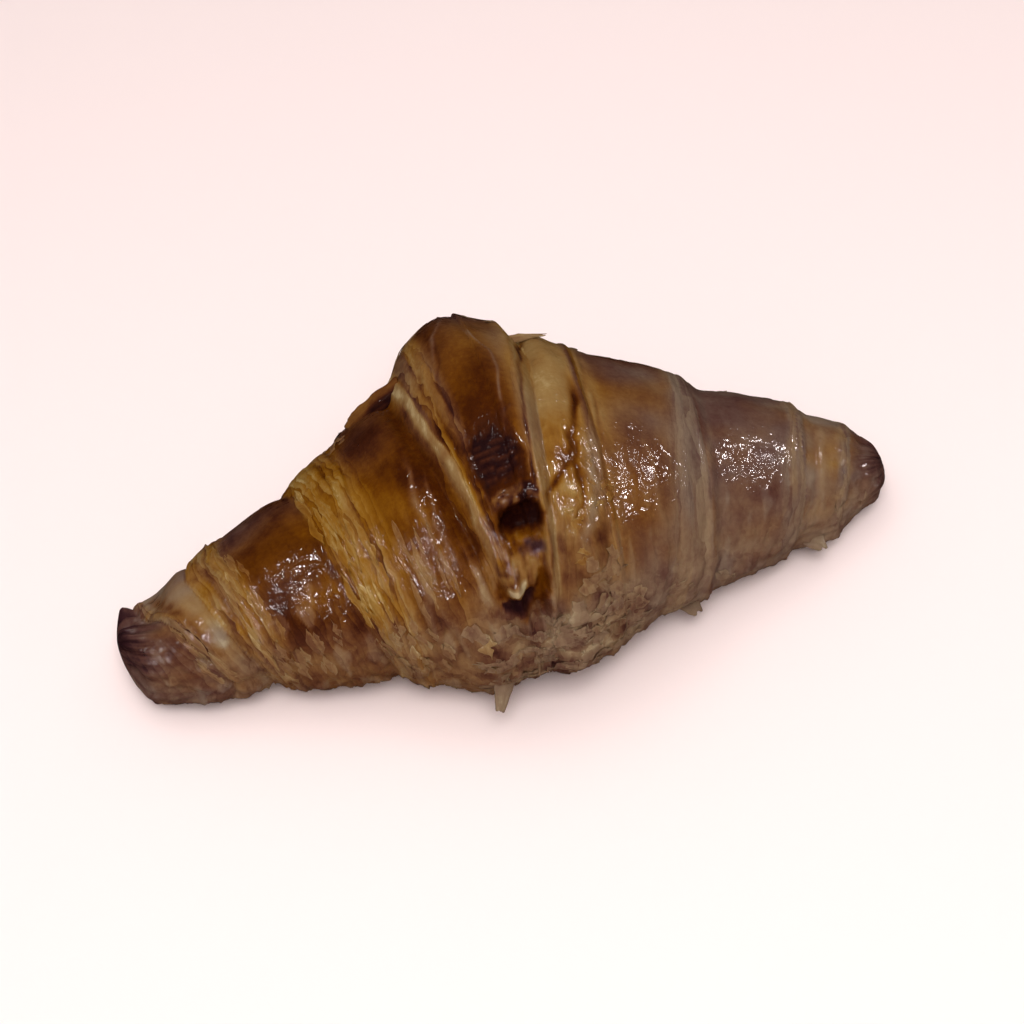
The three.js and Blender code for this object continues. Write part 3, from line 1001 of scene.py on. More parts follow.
@dataclass(frozen=True)
class RaggedFront:
    """The dull skin near the base, broken into plates and flakes at the front and a little behind."""

    raggedness: Grain = Grain(97, 4, 9)
    tones: Grain = Grain(97, 4, 8, 4.0)
    bends: Grain = Grain(97, 5, 12, 2.0, 1)
    middle_x: float = 5.0
    middle_along: float = 24.0
    front_starts: tuple[float, float] = (150, 164)
    thin_starts: tuple[float, float] = (128, 160)
    front_ends: tuple[float, float] = (246, 262)
    back_angles: tuple[float, ...] = (-66, -50, -34, 10)
    back_share: float = 0.55
    bake: float = 0.42
    right_bake: float = -0.07
    right_starts: tuple[float, float] = (6, 26)
    plates: tuple[tuple[float, float, int], ...] = ((4.6, 0.80, 5), (2.4, 0.50, 6))
    plate_bake: float = 0.13
    thin_plates: Shards = Shards(7)
    thin_rise: float = 0.5

    def lay(self, maps: CrustMaps, form: DoughForm) -> None:
        """Break the skin near the base.

        Args:
            maps: the crust so far, which is changed.
            form: the form under it.
        """
        x, angle = maps.x, maps.angle
        ragged = angle + 7 * self.raggedness.at(x, angle)
        before_base = 1 - ease(*self.front_ends, angle)
        front = ease(*self.front_starts, ragged) * before_base
        front = front * (0.3 + 0.7 * bell(x - self.middle_x, self.middle_along))
        starts, ends = self.back_angles[:2], self.back_angles[2:]
        behind = self.back_share * ease(*starts, angle) * (1 - ease(*ends, ragged))
        share = np.clip(front + behind, 0, 1)
        tone = self.bake + self.right_bake * ease(*self.right_starts, x) + 0.20 * self.tones.at(x, angle)
        maps.tint(0.85 * share, tone, 0.4, 0.85, 1.0)
        bent = 0.3 * self.bends.at(x, angle)
        for size, depth, seed in self.plates:
            tilt, tone = Shards(seed).at(x / size + bent, angle / (1.7 * size))
            maps.rise += share * depth * tilt
            maps.bake += share * self.plate_bake * tone
        thin = np.clip(ease(*self.thin_starts, ragged) * before_base - share, 0, 1)
        tilt, tone = self.thin_plates.at(maps.lane / 2.4, angle / 12)
        maps.rise += thin * self.thin_rise * tilt
        maps.tint(0.5 * thin, 0.40 + 0.1 * tone, 0.5, 0.7, 0.5)
        maps.layers *= 1 - share


@dataclass(frozen=True)
class TongueTop:
    """The tongue's burnt pit and hollows, and the raised rope of dough along its left side."""

    burn: Grain = Grain(71, 1.2, 2.2, 3.0, 2)
    ridge_bends: Grain = Grain(71, 2.2, 4, octaves=1)
    rope_swells: Grain = Grain(71, 7, 1, 6.0)
    shade_tones: Grain = Grain(71, 0.9, 12, 4.0)
    rope_tones: Grain = Grain(71, 0.7, 4, 2.0)
    hollow_seed: int = 500
    rope_seed: int = 600
    pit: int = 2
    ridge_spacing: float = 2.6
    ridge_rise: float = 0.34
    ridge_highlight: float = 0.24
    groove_middle: float = -2.8
    groove_width: float = 1.7
    groove_depth: float = 1.0
    shade_middle: float = 2.4
    shade_width: float = 1.3
    shade_angles: tuple[float, ...] = (84, 96, 128, 140)
    groove_shade_bake: float = 0.76
    lower_angles: tuple[float, float] = (112, 132)
    rope: Line = Line((38, 47, 66.5, 80.8, 100.2, 114.2, 125, 137),
                      (-17.4, -17.0, -15.9, -14.5, -11.8, -10.1, -9.1, -8.3),
                      0.85, 1.0, 0.16, 0.97, 0.55, 0.35, wander=0.25, fade=5)
    hollows: tuple[Hollow, ...] = (
        Hollow(-3.0, 97.0, 4.2, 7.0, 0.0, 0.78, 0.0, 0.15, 0.0, 0.04),
        Hollow(-2.6, 112.0, 5.4, 13.5, -0.5, 0.86, 0.0, 0.20, 0.1, 0.05),
        Hollow(-3.0, 108.5, 4.6, 8.0, -0.5, 1.00, 0.25, 0.16, 0.0, 0.05),
        Hollow(-1.6, 122.0, 4.4, 3.1, 0.9, 0.86, 0.3, 1.0, 0.9, 0.1),
        Hollow(-1.2, 129.0, 4.5, 4.9, -3.0, 1.0, 0.0, 0.1, 0.0, 0.1),
        Hollow(-1.6, 135.4, 4.4, 1.9, 0.7, 0.54, 0.0, 0.9, 0.3, 0.1),
        Hollow(-0.6, 138.8, 2.4, 2.0, -0.4, 0.86, 1.0, 0.6, 0.0),
        Hollow(-3.6, 150.0, 5.0, 12.0, 0.0, 0.72, 0.0, 0.6, 0.1),
        Hollow(-3.6, 145.2, 4.0, 6.4, 1.0, 0.47, 0.25, 0.7, 0.5),
        Hollow(-4.9, 149.6, 2.0, 2.3, 0.2, 0.04, 0.6, 0.2, 0.4),
        Hollow(-5.2, 156.4, 3.2, 4.0, -1.2, 0.95, 0.6, 0.4, 0.2),
    )

    def lay(self, maps: CrustMaps, form: DoughForm) -> None:
        """Burn the hollows and lay the rope.

        Args:
            maps: the crust so far, which is changed.
            form: the form under it.
        """
        self._burn_hollows(maps)
        self._ridge_pit(maps)
        self._lay_rope(maps)

    def _burn_hollows(self, maps: CrustMaps) -> None:
        """Sink or raise each hollow and give it its own browning.

        Args:
            maps: the crust so far, which is changed.
        """
        for number, hollow in enumerate(self.hollows):
            share = hollow.uneven_share(maps.x, maps.angle, self.hollow_seed + number)
            grain = hollow.grain * self.burn.at(maps.x, maps.angle, number)
            maps.rise += share * (hollow.rise + grain)
            maps.tint(share, hollow.bake + 0.6 * grain, hollow.wash, hollow.cool, 0.0)
            maps.layers *= 1 - 0.85 * share

    def _ridge_pit(self, maps: CrustMaps) -> None:
        """Cross the lower part of the dark pit with fine ridges, their crests paler as a painted highlight.

        Args:
            maps: the crust so far, which is changed.
        """
        x, angle, pit = maps.x, maps.angle, self.hollows[self.pit]
        share = pit.uneven_share(x, angle, self.hollow_seed) * ease(pit.angle - 8, pit.angle - 4, angle)
        curve = 0.55 * self.ridge_bends.at(x, angle) + 0.02 * (x + 2.7) ** 2
        ridges = np.sin(2 * np.pi * (angle / self.ridge_spacing + curve))
        maps.rise += share * self.ridge_rise * ridges
        # painted highlight: the ridge crests are made paler
        maps.bake -= share * self.ridge_highlight * np.clip(ridges - 0.3, 0, 1)

    def _lay_rope(self, maps: CrustMaps) -> None:
        """Raise the rope, with a groove outside it darkened as painted shade, and a painted shade inside it.

        Args:
            maps: the crust so far, which is changed.
        """
        angle, line = maps.angle, self.rope
        across = line.across(maps.x, angle, self.rope_seed)
        shown = line.shown(angle)
        width = line.half_width * (1 + 0.25 * self.rope_swells.at(angle, 0 * across))
        rope = (1 - ease(0.55, 1.4, np.abs(across) / width)) * shown
        groove = bell(across - self.groove_middle, self.groove_width) * shown
        maps.rise += line.height * rope - self.groove_depth * groove
        # painted shade: the groove outside the rope and the strip inside it are darkened
        maps.tint(np.clip(1.1 * groove, 0, 0.95), self.groove_shade_bake, 0.5, 0.0)
        maps.layers *= 1 - 0.7 * groove
        shade = bell(across - self.shade_middle, self.shade_width) * window(angle, self.shade_angles)
        maps.tint(0.85 * shade, self.groove_shade_bake + 0.12 * self.shade_tones.at(across, angle), 0.4, 0.0)
        tone = line.bake + 0.16 * ease(*self.lower_angles, angle) + 0.16 * self.rope_tones.at(across, angle)
        maps.tint(line.opacity * rope, tone, line.wash, line.cool)
        maps.layers *= 1 - 0.95 * rope


@dataclass(frozen=True)
class BrownedTips:
    """The two tips: pleated, knobbed and browned at their ends."""

    seed: int = 113
    grows: tuple[float, float] = (74, 77)
    grown: float = 84.0
    pleats: int = 11
    fine_pleats: int = 37
    pleat_rise: tuple[float, float] = (1.1, 0.75)
    pleat_groove_shade: float = 0.10
    fine_rise: float = 0.28
    fine_groove_shade: float = 0.16
    fine_spot: Spot = Spot(80.5, 122, 2.6, 26)
    browned: tuple[float, float] = (78, 85)
    browned_bake: float = 0.20
    browned_cool: float = 0.3
    knobs: tuple[Lump, ...] = (
        Lump(-83.5, 24, 1.7, 15, 2.2), Lump(-83.6, 58, 1.6, 14, -3.0), Lump(-83.0, 166, 1.7, 12, -3.4),
        Lump(-82.0, 196, 2.4, 15, 1.5), Lump(-83.8, 104, 1.5, 14, 1.2), Lump(-83.6, 134, 1.4, 9, -2.0),
        Lump(83.8, 190, 1.4, 12, -1.5), Lump(82.0, 210, 2.2, 14, 0.9), Lump(84.4, 96, 0.8, 7, -0.9),
        Lump(84.2, 118, 0.8, 6, -0.8), Lump(83.6, 140, 0.9, 6, -0.8),
    )

    def lay(self, maps: CrustMaps, form: DoughForm) -> None:
        """Pleat and knob the tips.

        Args:
            maps: the crust so far, which is changed.
            form: the form under it.
        """
        x, angle = maps.x, maps.angle
        turned = np.radians(angle)
        for side, grows, pleat_rise in zip(Side, self.grows, self.pleat_rise):
            noise = LatticeNoise(self.seed + side.value)
            away = x * side.value
            grow = ease(grows, self.grown, away)
            pleats = np.abs(np.sin(turned * self.pleats + 1.2 * noise.at(away / 6, angle / 20)))
            fine = np.abs(np.sin(turned * self.fine_pleats + 2.5 * noise.at(away / 5, angle / 12)))
            spot = self.fine_spot.share(away, angle)
            lumpy = 0.40 * noise.rough(angle / 12, away / 3, 2.0)
            maps.tip_rise += grow * (pleat_rise * (pleats - 0.6) + lumpy)
            maps.tip_rise += self.fine_rise * spot * (0.6 - fine)
            end = ease(*self.browned, away)
            # painted shade: pleat grooves darker and crests paler, following their relief
            maps.bake += self.pleat_groove_shade * grow * (0.5 - pleats) + self.fine_groove_shade * spot * (fine - 0.4)
            maps.bake += self.browned_bake * end
            maps.cool += self.browned_cool * end
        for knob in self.knobs:
            maps.tip_rise += knob.height * knob.share(x, angle)


@dataclass(frozen=True)
class BakedBase:
    """The underside, evenly browned by the baking tray."""

    tones: Grain = Grain(131, 6, 10)
    front_starts: tuple[float, float] = (236, 250)
    back_ends: tuple[float, float] = (-70, -56)

    def lay(self, maps: CrustMaps, form: DoughForm) -> None:
        """Brown the base.

        Args:
            maps: the crust so far, which is changed.
            form: the form under it.
        """
        under = ease(*self.front_starts, maps.angle) + 1 - ease(*self.back_ends, maps.angle)
        maps.tint(under, 0.56 + 0.06 * self.tones.at(maps.x, maps.angle), 0.05, 0.5, 0.15)


@dataclass(frozen=True)
class CrustSkin:
    """Covers the rolled form with skins, layers, folds and browning, in the order that they are laid."""

    form: DoughForm
    give: float = 0.5
    tip_closure: float = 1.6
    coverings: tuple = (TurnSkins(), Mottling(), GoldenSkin(), BareLayers(), FoldLines(), RaggedFront(),
                        TongueTop(), BrownedTips(), BakedBase())

    def cover(self, x: Array, angle: Array) -> CrustMaps:
        """Work out the whole crust.

        Args:
            x: places along the body.
            angle: angles round it, in degrees from -90 to 270.

        Returns:
            Relief and masks at every point.
        """
        maps = CrustMaps.plain(self.form, x, angle)
        for covering in self.coverings:
            covering.lay(maps, self.form)
        for name in ("bake", "wash", "dust", "cool"):
            setattr(maps, name, np.clip(getattr(maps, name), 0, 1))
        return maps

    def surface(self, maps: CrustMaps) -> Array:
        """Give the finished crust's points.

        Args:
            maps: the crust worked out at those points.

        Returns:
            Points in millimetres.
        """
        closure = self.form.closure(maps.x)
        radius = (self.form.radius(maps.x, maps.angle) + maps.rise) * closure
        radius += maps.tip_rise * np.minimum(1.0, self.tip_closure * closure)
        return self._held(self.form.place(maps.x, maps.angle, radius))

    def _held(self, points: Array) -> Array:
        """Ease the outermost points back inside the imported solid's box.

        Args:
            points: points in millimetres.

        Returns:
            The points, none of them outside the box at the front, the back or the top.
        """
        points = points.copy()
        for axis, sign in ((1, 1), (1, -1), (2, 1)):
            limit = max(sign * corner[axis] for corner in CAD_BOX) / MM
            over = np.maximum(sign * points[..., axis] - (limit - self.give), 0)
            points[..., axis] += sign * (self.give * (1 - np.exp(-over / self.give)) - over)
        return points


def select_none() -> None:
    """Deselect every object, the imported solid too."""
    bpy.ops.object.select_all(action="DESELECT")


def take_new(name: str) -> Piece:
    """Name the object that an operator has just added.

    Args:
        name: its new name.

    Returns:
        The object.
    """
    piece = bpy.context.object
    piece.name = name
    piece.data.name = name
    return piece


def read_points(piece: Piece) -> Array:
    """Read a mesh's points.

    Args:
        piece: the mesh's object.

    Returns:
        The points, one row for each.
    """
    points = np.empty(len(piece.data.vertices) * 3)
    piece.data.vertices.foreach_get("co", points)
    return points.reshape(-1, 3)


def write_points(piece: Piece, points: Array) -> None:
    """Move a mesh's points to new places, given in millimetres."""
    piece.data.vertices.foreach_set("co", (points * MM).ravel())


def write_mask(piece: Piece, name: str, values: Array) -> None:
    """Store one value for each point of the mesh under the name that the material reads."""
    layer = piece.data.attributes.new(name, "FLOAT", "POINT")
    layer.data.foreach_set("value", np.ascontiguousarray(values, dtype=np.float32).ravel())


def write_flow(piece: Piece, flow: Array) -> None:
    """Store the material's coordinate that follows the roll, one row for each point."""
    layer = piece.data.attributes.new("flow", "FLOAT_VECTOR", "POINT")
    layer.data.foreach_set("vector", np.ascontiguousarray(flow, dtype=np.float32).ravel())


def write_masks(piece: Piece, maps: CrustMaps, pick: tuple | slice) -> None:
    """Store the crust's masks and the direction of the roll on a mesh.

    Args:
        piece: the object to write on.
        maps: the crust worked out on a grid or a list of points.
        pick: which places of the maps the mesh's points are.
    """
    for name in MASKS:
        write_mask(piece, name, getattr(maps, name)[pick])
    flow = np.stack([maps.lane, np.radians(maps.angle) * FLOW_RADIUS, 0 * maps.lane], axis=-1)
    write_flow(piece, flow[pick])


def give_thickness(piece: Piece, thickness: float) -> None:
    """Turn an open sheet into a closed one.

    Args:
        piece: the sheet's object.
        thickness: how thick it becomes, in millimetres.
    """
    thicken = piece.modifiers.new("thickness", "SOLIDIFY")
    thicken.thickness = thickness * MM
    thicken.offset = 0
    bpy.ops.object.modifier_apply(modifier="thickness")


def face_outwards() -> None:
    """Turn every face of the active closed mesh outwards."""
    bpy.ops.object.mode_set(mode="EDIT")
    bpy.ops.mesh.select_all(action="SELECT")
    bpy.ops.mesh.normals_make_consistent(inside=False)
    bpy.ops.object.mode_set(mode="OBJECT")


def declare(piece: Piece, finish: bpy.types.Material) -> None:
    """Dress a piece of the croissant and tell the frame what it is.

    Args:
        piece: the finished piece.
        finish: its material.
    """
    piece.data.materials.clear()
    piece.data.materials.append(finish)
    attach(piece, "root")
    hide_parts("croissant")
    LOG.info("%s: %d faces", piece.name, len(piece.data.polygons))


@dataclass
class CrustBody:
    """The croissant's body: one closed skin, finest where the folds show."""

    skin: CrustSkin
    finish: bpy.types.Material
    body_rows: int = 440
    tip_rows: int = 24
    columns: int = 200
    row_crowding: float = 0.80
    top_crowding: float = 28.0

    def row_places(self) -> Array:
        """Space the rows along the body, from the left tip to the right tip, without the poles."""
        form = self.skin.form
        shoulder = form.half_length - form.tip_round
        u = np.linspace(-1, 1, self.body_rows)
        body = shoulder * (self.row_crowding * u + (1 - self.row_crowding) * u ** 3)
        turn = np.linspace(0, np.pi / 2, self.tip_rows + 2)[1:-1]
        tip = shoulder + form.tip_round * np.sin(turn)
        return np.concatenate([-tip[::-1], body, tip])

    def column_angles(self) -> Array:
        """Space the columns round the body, closest at the top."""
        share = np.arange(self.columns) / self.columns - 0.5
        return 90 + 360 * share - self.top_crowding * np.sin(2 * np.pi * share)

    def build(self) -> Piece:
        """Shape a sphere's rings into the rolled dough.

        Returns:
            The body piece.
        """
        rows = self.row_places()
        rings = len(rows) + 1
        select_none()
        bpy.ops.mesh.primitive_uv_sphere_add(segments=self.columns, ring_count=rings, radius=1)
        piece = take_new("croissant_crust")
        ball = read_points(piece)
        ring = np.rint(np.arccos(np.clip(ball[:, 2], -1, 1)) / np.pi * rings).astype(int)
        turn = np.arctan2(ball[:, 1], ball[:, 0]) / (2 * np.pi) * self.columns
        column = np.rint(turn).astype(int) % self.columns
        row = np.clip(len(rows) - ring, 0, len(rows) - 1)
        maps = self.skin.cover(*np.meshgrid(rows, self.column_angles(), indexing="ij"))
        points = self.skin.surface(maps)
        places = points[row, column]
        for pole, end_row in ((0, -1), (rings, 0)):
            places[ring == pole] = points[end_row].mean(axis=0)
        write_points(piece, places)
        write_masks(piece, maps, (row, column))
        bpy.ops.object.shade_smooth()
        piece.data.update()
        declare(piece, self.finish)
        return piece


@dataclass(frozen=True)
class Leaf:
    """A loose leaf of crust: its root on the body, where its free end is and how it bends."""

    x: float
    angle: float
    reach: tuple[float, float, float]
    face: tuple[float, float, float]
    bend: float
    width: float
    thickness: float
    bake: float
    front_bake_and_shade: float
    cool: float
    ragged: float
    taper: float = 0.7


@dataclass
class LooseLeaves:
    """The leaves that stand off the crust."""

    form: DoughForm
    finish: bpy.types.Material
    root_depth: float = 2.5
    root_bake: float = 0.14
    root_ends: tuple[float, float] = (0.25, 0.75)
    cupping: float = 0.1
    waviness: float = 0.25
    mottle: float = 0.08
    wash: float = 0.35
    dust: float = 0.1
    layers: float = 0.12
    flow_length: float = 12.0
    along: int = 22
    across: int = 12
    bend_steps: int = 200
    shape_seed: int = 200
    tone_seed: int = 300
    leaves: tuple[Leaf, ...] = (
        Leaf(-17, 52, (-10.0, 1.0, -8.2), (-0.2, -0.5, 1), 35, 4.6, 0.8, 0.50, 0.86, 0.2, 0.25, 0.1),
        Leaf(-10, 195, (-2.3, -2.8, -5.6), (0.4, -1, 0.3), 10, 6, 0.7, 0.24, 0.24, 0.9, 0.08),
        Leaf(33, 205, (1.2, -2.4, -1.2), (0, -0.6, 1), 0, 6.4, 0.6, 0.34, 0.34, 0.9, 0.08),
        Leaf(64, 193, (1.0, -2.4, -0.8), (0, -0.4, 1), 0, 6, 0.6, 0.24, 0.24, 0.9, 0.08),
        Leaf(10, 50, (5.2, -1.2, 0.5), (0, -0.4, 1), -10, 2.6, 0.4, 0.20, 0.20, 0.5, 0.3),
    )

    def _bent(self, leaf: Leaf, share: Array, length: float) -> tuple[Array, Array, Array]:
        """Bend a leaf along an arc.

        Args:
            leaf: the leaf's sizes.
            share: places along the leaf, 0 at its root and 1 at its free end.
            length: its length along the arc.

        Returns:
            How far ahead and how high each place lies, and its pitch.
        """
        arc = np.linspace(0, 1, self.bend_steps)
        pitches = np.radians(leaf.bend) * (0.5 - arc)
        ahead = np.interp(share, arc, np.cumsum(np.cos(pitches)) / self.bend_steps) * length
        lift = np.interp(share, arc, np.cumsum(np.sin(pitches)) / self.bend_steps) * length
        return ahead, lift, np.radians(leaf.bend) * (0.5 - share)

    def _shape(self, leaf: Leaf, flat: Array, seed: int) -> Array:
        """Bend a flat grid into a leaf.

        Args:
            leaf: the leaf's sizes.
            flat: grid points from -1 to 1, across and along.
            seed: picks its ragged outline.

        Returns:
            Points in millimetres.
        """
        forward = np.array(leaf.reach) / np.linalg.norm(leaf.reach)
        side = np.cross(forward, leaf.face)
        side /= np.linalg.norm(side)
        upward = np.cross(side, forward)
        length = np.linalg.norm(leaf.reach) + self.root_depth
        noise = LatticeNoise(seed)
        v, share = flat[:, 0], (flat[:, 1] + 1) / 2
        ahead, lift, pitch = self._bent(leaf, share, length)
        width = leaf.width / 2 * (1 - leaf.taper * share ** 1.5)
        width = width * (1 + leaf.ragged * noise.rough(share * 5, np.sign(v)))
        ahead = ahead + leaf.ragged * length * share ** 4 * noise.rough(v * 2.2, 7.0)
        lift = lift - self.cupping * leaf.width * v ** 2 + self.waviness * noise.at(v * 1.7, share * 3)
        start = self.form.point(leaf.x, leaf.angle) - forward * self.root_depth
        out = start + ahead[:, None] * forward + (v * width)[:, None] * side
        normal = np.cos(pitch)[:, None] * upward - np.sin(pitch)[:, None] * forward
        return out + lift[:, None] * normal

    def _colour(self, piece: Piece, leaf: Leaf, flat: Array, seed: int) -> None:
        """Store a leaf's masks: browner at its root, and darker on the side that faces the front: a browned
        edge with painted shade under the leaf.

        Args:
            piece: the leaf's object.
            leaf: its browning and its cool tint, for duller crust and painted sheen.
            flat: grid points from -1 to 1, across and along.
            seed: picks its mottling.
        """
        noise = LatticeNoise(seed)
        v, share = flat[:, 0], (flat[:, 1] + 1) / 2
        # darker towards the front side: browned edge and painted shade under the leaf
        bake = mix(leaf.front_bake_and_shade, leaf.bake, ease(-0.5, 0.3, v + 0.25 * noise.at(share * 4)))
        bake += self.root_bake * (1 - ease(*self.root_ends, share))
        bake += self.mottle * noise.rough(v * 3, share * 2)
        same = np.ones(len(flat))
        write_mask(piece, "bake", np.clip(bake, 0, 1))
        for name, value in (("wash", self.wash), ("dust", self.dust), ("cool", leaf.cool),
                            ("layers", self.layers)):
            write_mask(piece, name, value * same)
        write_flow(piece, np.stack([v * leaf.width, share * self.flow_length, 0 * same], axis=-1))

    def build(self) -> None:
        """Make each leaf from a grid, give it thickness and round it off."""
        for number, leaf in enumerate(self.leaves):
            select_none()
            bpy.ops.mesh.primitive_grid_add(x_subdivisions=self.across, y_subdivisions=self.along, size=2)
            piece = take_new(f"crust_leaf_{number + 1}")
            flat = read_points(piece)
            write_points(piece, self._shape(leaf, flat, self.shape_seed + number))
            self._colour(piece, leaf, flat, self.tone_seed + number)
            give_thickness(piece, leaf.thickness)
            rounder = piece.modifiers.new("rounding", "SUBSURF")
            rounder.levels = 1
            rounder.render_levels = 1
            bpy.ops.object.modifier_apply(modifier="rounding")
            bpy.ops.object.shade_smooth()
            declare(piece, self.finish)


@dataclass(frozen=True)
class FlakePatch(Spot):
    """A patch of crust that carries loose flakes, and what its flakes are like."""

    count: int
    length: float
    width: float
    lift: float
    bake: float
    cool: float
    spin: float = 0.0


@dataclass
class CrustFlakes:
    """Thin flakes and slivers of dough that lie on the crust with one end a little raised."""

    skin: CrustSkin
    finish: bpy.types.Material
    thickness: float = 0.14
    sink: float = 0.10
    smoothing: float = 0.4
    own_tone: float = 0.6
    tone_spread: float = 0.09
    edge_bake: float = -0.12
    wash: float = 0.45
    layers: float = 0.35
    spun_dust: float = 0.3
    lane_step: float = 3.7
    crease_angle: float = 50.0
    across: int = 4
    along: int = 8
    seed: int = 29
    noise_seed: int = 61
    patches: tuple[FlakePatch, ...] = (
        FlakePatch(-57, 110, 3, 42, 22, 7, 1.0, 0.35, 0.28, 0.3),
        FlakePatch(-35, 110, 4.5, 42, 30, 8, 1.1, 0.40, 0.24, 0.05),
        FlakePatch(-69, 140, 3, 30, 12, 6, 1.0, 0.35, 0.30, 0.5),
        FlakePatch(-20, 134, 6, 16, 9, 9, 0.8, 0.30, 0.34, 0.5),
        FlakePatch(-46, 160, 7, 14, 14, 5, 1.3, 0.40, 0.36, 0.6),
        FlakePatch(-26, 168, 8, 16, 22, 5, 1.6, 0.45, 0.32, 0.6),
        FlakePatch(2, 182, 17, 20, 46, 5, 3.6, 0.60, 0.34, 0.85, 1.0),
        FlakePatch(14, 162, 7, 18, 24, 4, 3.0, 0.55, 0.30, 0.7, 1.0),
        FlakePatch(13, 132, 5, 18, 12, 3, 1.4, 0.40, 0.28, 0.15, 1.0),
        FlakePatch(34, 184, 8, 14, 6, 5, 2.2, 0.40, 0.38, 0.8, 0.5),
        FlakePatch(75, 150, 4, 22, 4, 4, 1.2, 0.30, 0.34, 0.8),
        FlakePatch(-12, 20, 30, 30, 16, 5, 2.2, 0.60, 0.36, 0.7, 0.7),
        FlakePatch(40, 20, 20, 30, 8, 5, 2.2, 0.60, 0.36, 0.8, 0.7),
        FlakePatch(-12.5, 168, 0, 0, 1, 4.5, 2.4, 0.80, 0.10, 0.4, 0.3),
        FlakePatch(-52, 178, 0, 0, 1, 3.4, 2.2, 0.60, 0.12, 0.5, 0.4),
    )

    def _lane_place(self, lane: float, angles: Array) -> Array:
        """Find where a lane runs.

        Args:
            lane: the lane.
            angles: angles round the body.

        Returns:
            Places along x, one for each angle.
        """
        x = np.linspace(-84.0, 84.0, 337)
        lanes = self.skin.form.lane(x[None, :], angles[:, None])
        return np.array([np.interp(lane, row, x) for row in lanes])

    def _lay(self, patch: FlakePatch, flat: Array, draw: np.random.Generator) -> tuple[Array, ...]:
        """Lay a flat grid along the roll as one flake.

        Args:
            patch: the patch it belongs to.
            flat: grid points from -1 to 1, across and along.
            draw: the source of random numbers.

        Returns:
            Places along x, angles, lifts, browning, dullness and dustiness of its points.
        """
        form = self.skin.form
        x_start = np.array([patch.x + patch.along * draw.uniform(-1, 1)])
        lane = float(form.lane(x_start, np.array([float(patch.angle)]))[0])
        angle_middle = np.array([patch.angle + patch.around * draw.uniform(-1, 1)])
        girth = float(form.radius(self._lane_place(lane, angle_middle), angle_middle)[0])
        turn = patch.spin * draw.uniform(-math.pi / 2, math.pi / 2)
        size = draw.uniform(0.6, 1.3)
        shift = draw.uniform(0, 99)
        raised = draw.choice((-1.0, 1.0))
        tone = patch.bake + self.tone_spread * draw.uniform(-1, 1)
        noise = LatticeNoise(self.noise_seed)
        v, u = flat[:, 0], flat[:, 1]
        outline = (1 - 0.9 * np.abs(u) ** 2.6) * (1 + 0.6 * noise.at(u * 2.6 + shift, np.sign(v)))
        run = size * patch.length / 2 * u * (1 + 0.5 * noise.at(v * 1.6, shift))
        out = size * patch.width / 2 * (v * outline + 0.9 * noise.at(u * 1.5 + shift, 5.0))
        ahead = run * math.cos(turn) - out * math.sin(turn)
        aside = run * math.sin(turn) + out * math.cos(turn)
        angle = angle_middle + np.degrees(ahead / girth)
        lift = patch.lift * (0.35 + 0.65 * ((1 + raised * u) / 2) ** 1.5 - 0.3 * v ** 2) - self.sink
        edge = np.maximum(np.abs(u), np.abs(v)) > 0.9
        bake = tone + 0.12 * noise.at(u * 3 + shift, v * 2) + self.edge_bake * edge
        same = np.ones(len(u))
        return (self._lane_place(lane, angle) + aside, angle, lift, bake, patch.cool * same,
                self.spun_dust * patch.spin * same)

    def build(self) -> Piece:
        """Copy one grid for every flake, lay the copies on the crust, join them and give them thickness.

        Returns:
            The joined flakes.
        """
        draw = np.random.default_rng(self.seed)
        select_none()
        bpy.ops.mesh.primitive_grid_add(x_subdivisions=self.across, y_subdivisions=self.along, size=2)
        piece = take_new("crust_flakes")
        flat = read_points(piece)
        laid = [self._lay(patch, flat, draw) for patch in self.patches for _ in range(patch.count)]
        x, angle, lift, bake, cool, dust = (np.concatenate(column) for column in zip(*laid))
        maps = self.skin.cover(x, angle)
        ground = maps.rise.reshape(len(laid), -1).mean(axis=1).repeat(len(flat))
        maps.rise = mix(maps.rise, ground, self.smoothing) + lift
        points = self.skin.surface(maps)
        maps.bake = mix(maps.bake, np.clip(bake, 0, 1), self.own_tone)
        maps.cool = mix(maps.cool, cool, self.own_tone)
        maps.wash[:], maps.layers[:], maps.dust = self.wash, self.layers, dust
        maps.lane += self.lane_step * np.arange(len(laid)).repeat(len(flat))
        flakes = [piece] + [piece.copy() for _ in laid[1:]]
        for flake in flakes[1:]:
            flake.data = piece.data.copy()
            bpy.context.scene.collection.objects.link(flake)
            flake.select_set(True)
        for number, flake in enumerate(flakes):
            own = slice(number * len(flat), (number + 1) * len(flat))
            write_points(flake, points[own])
            write_masks(flake, maps, own)
        bpy.ops.object.join()
        give_thickness(piece, self.thickness)
        face_outwards()
        bpy.ops.object.shade_smooth_by_angle(angle=math.radians(self.crease_angle))
        declare(piece, self.finish)
        return piece


@dataclass(frozen=True)
class Plates:
    """What a plate pattern gives: a tone for each plate, its rim and how it slopes."""

    tone: Socket
    rim: Socket
    slope: Socket


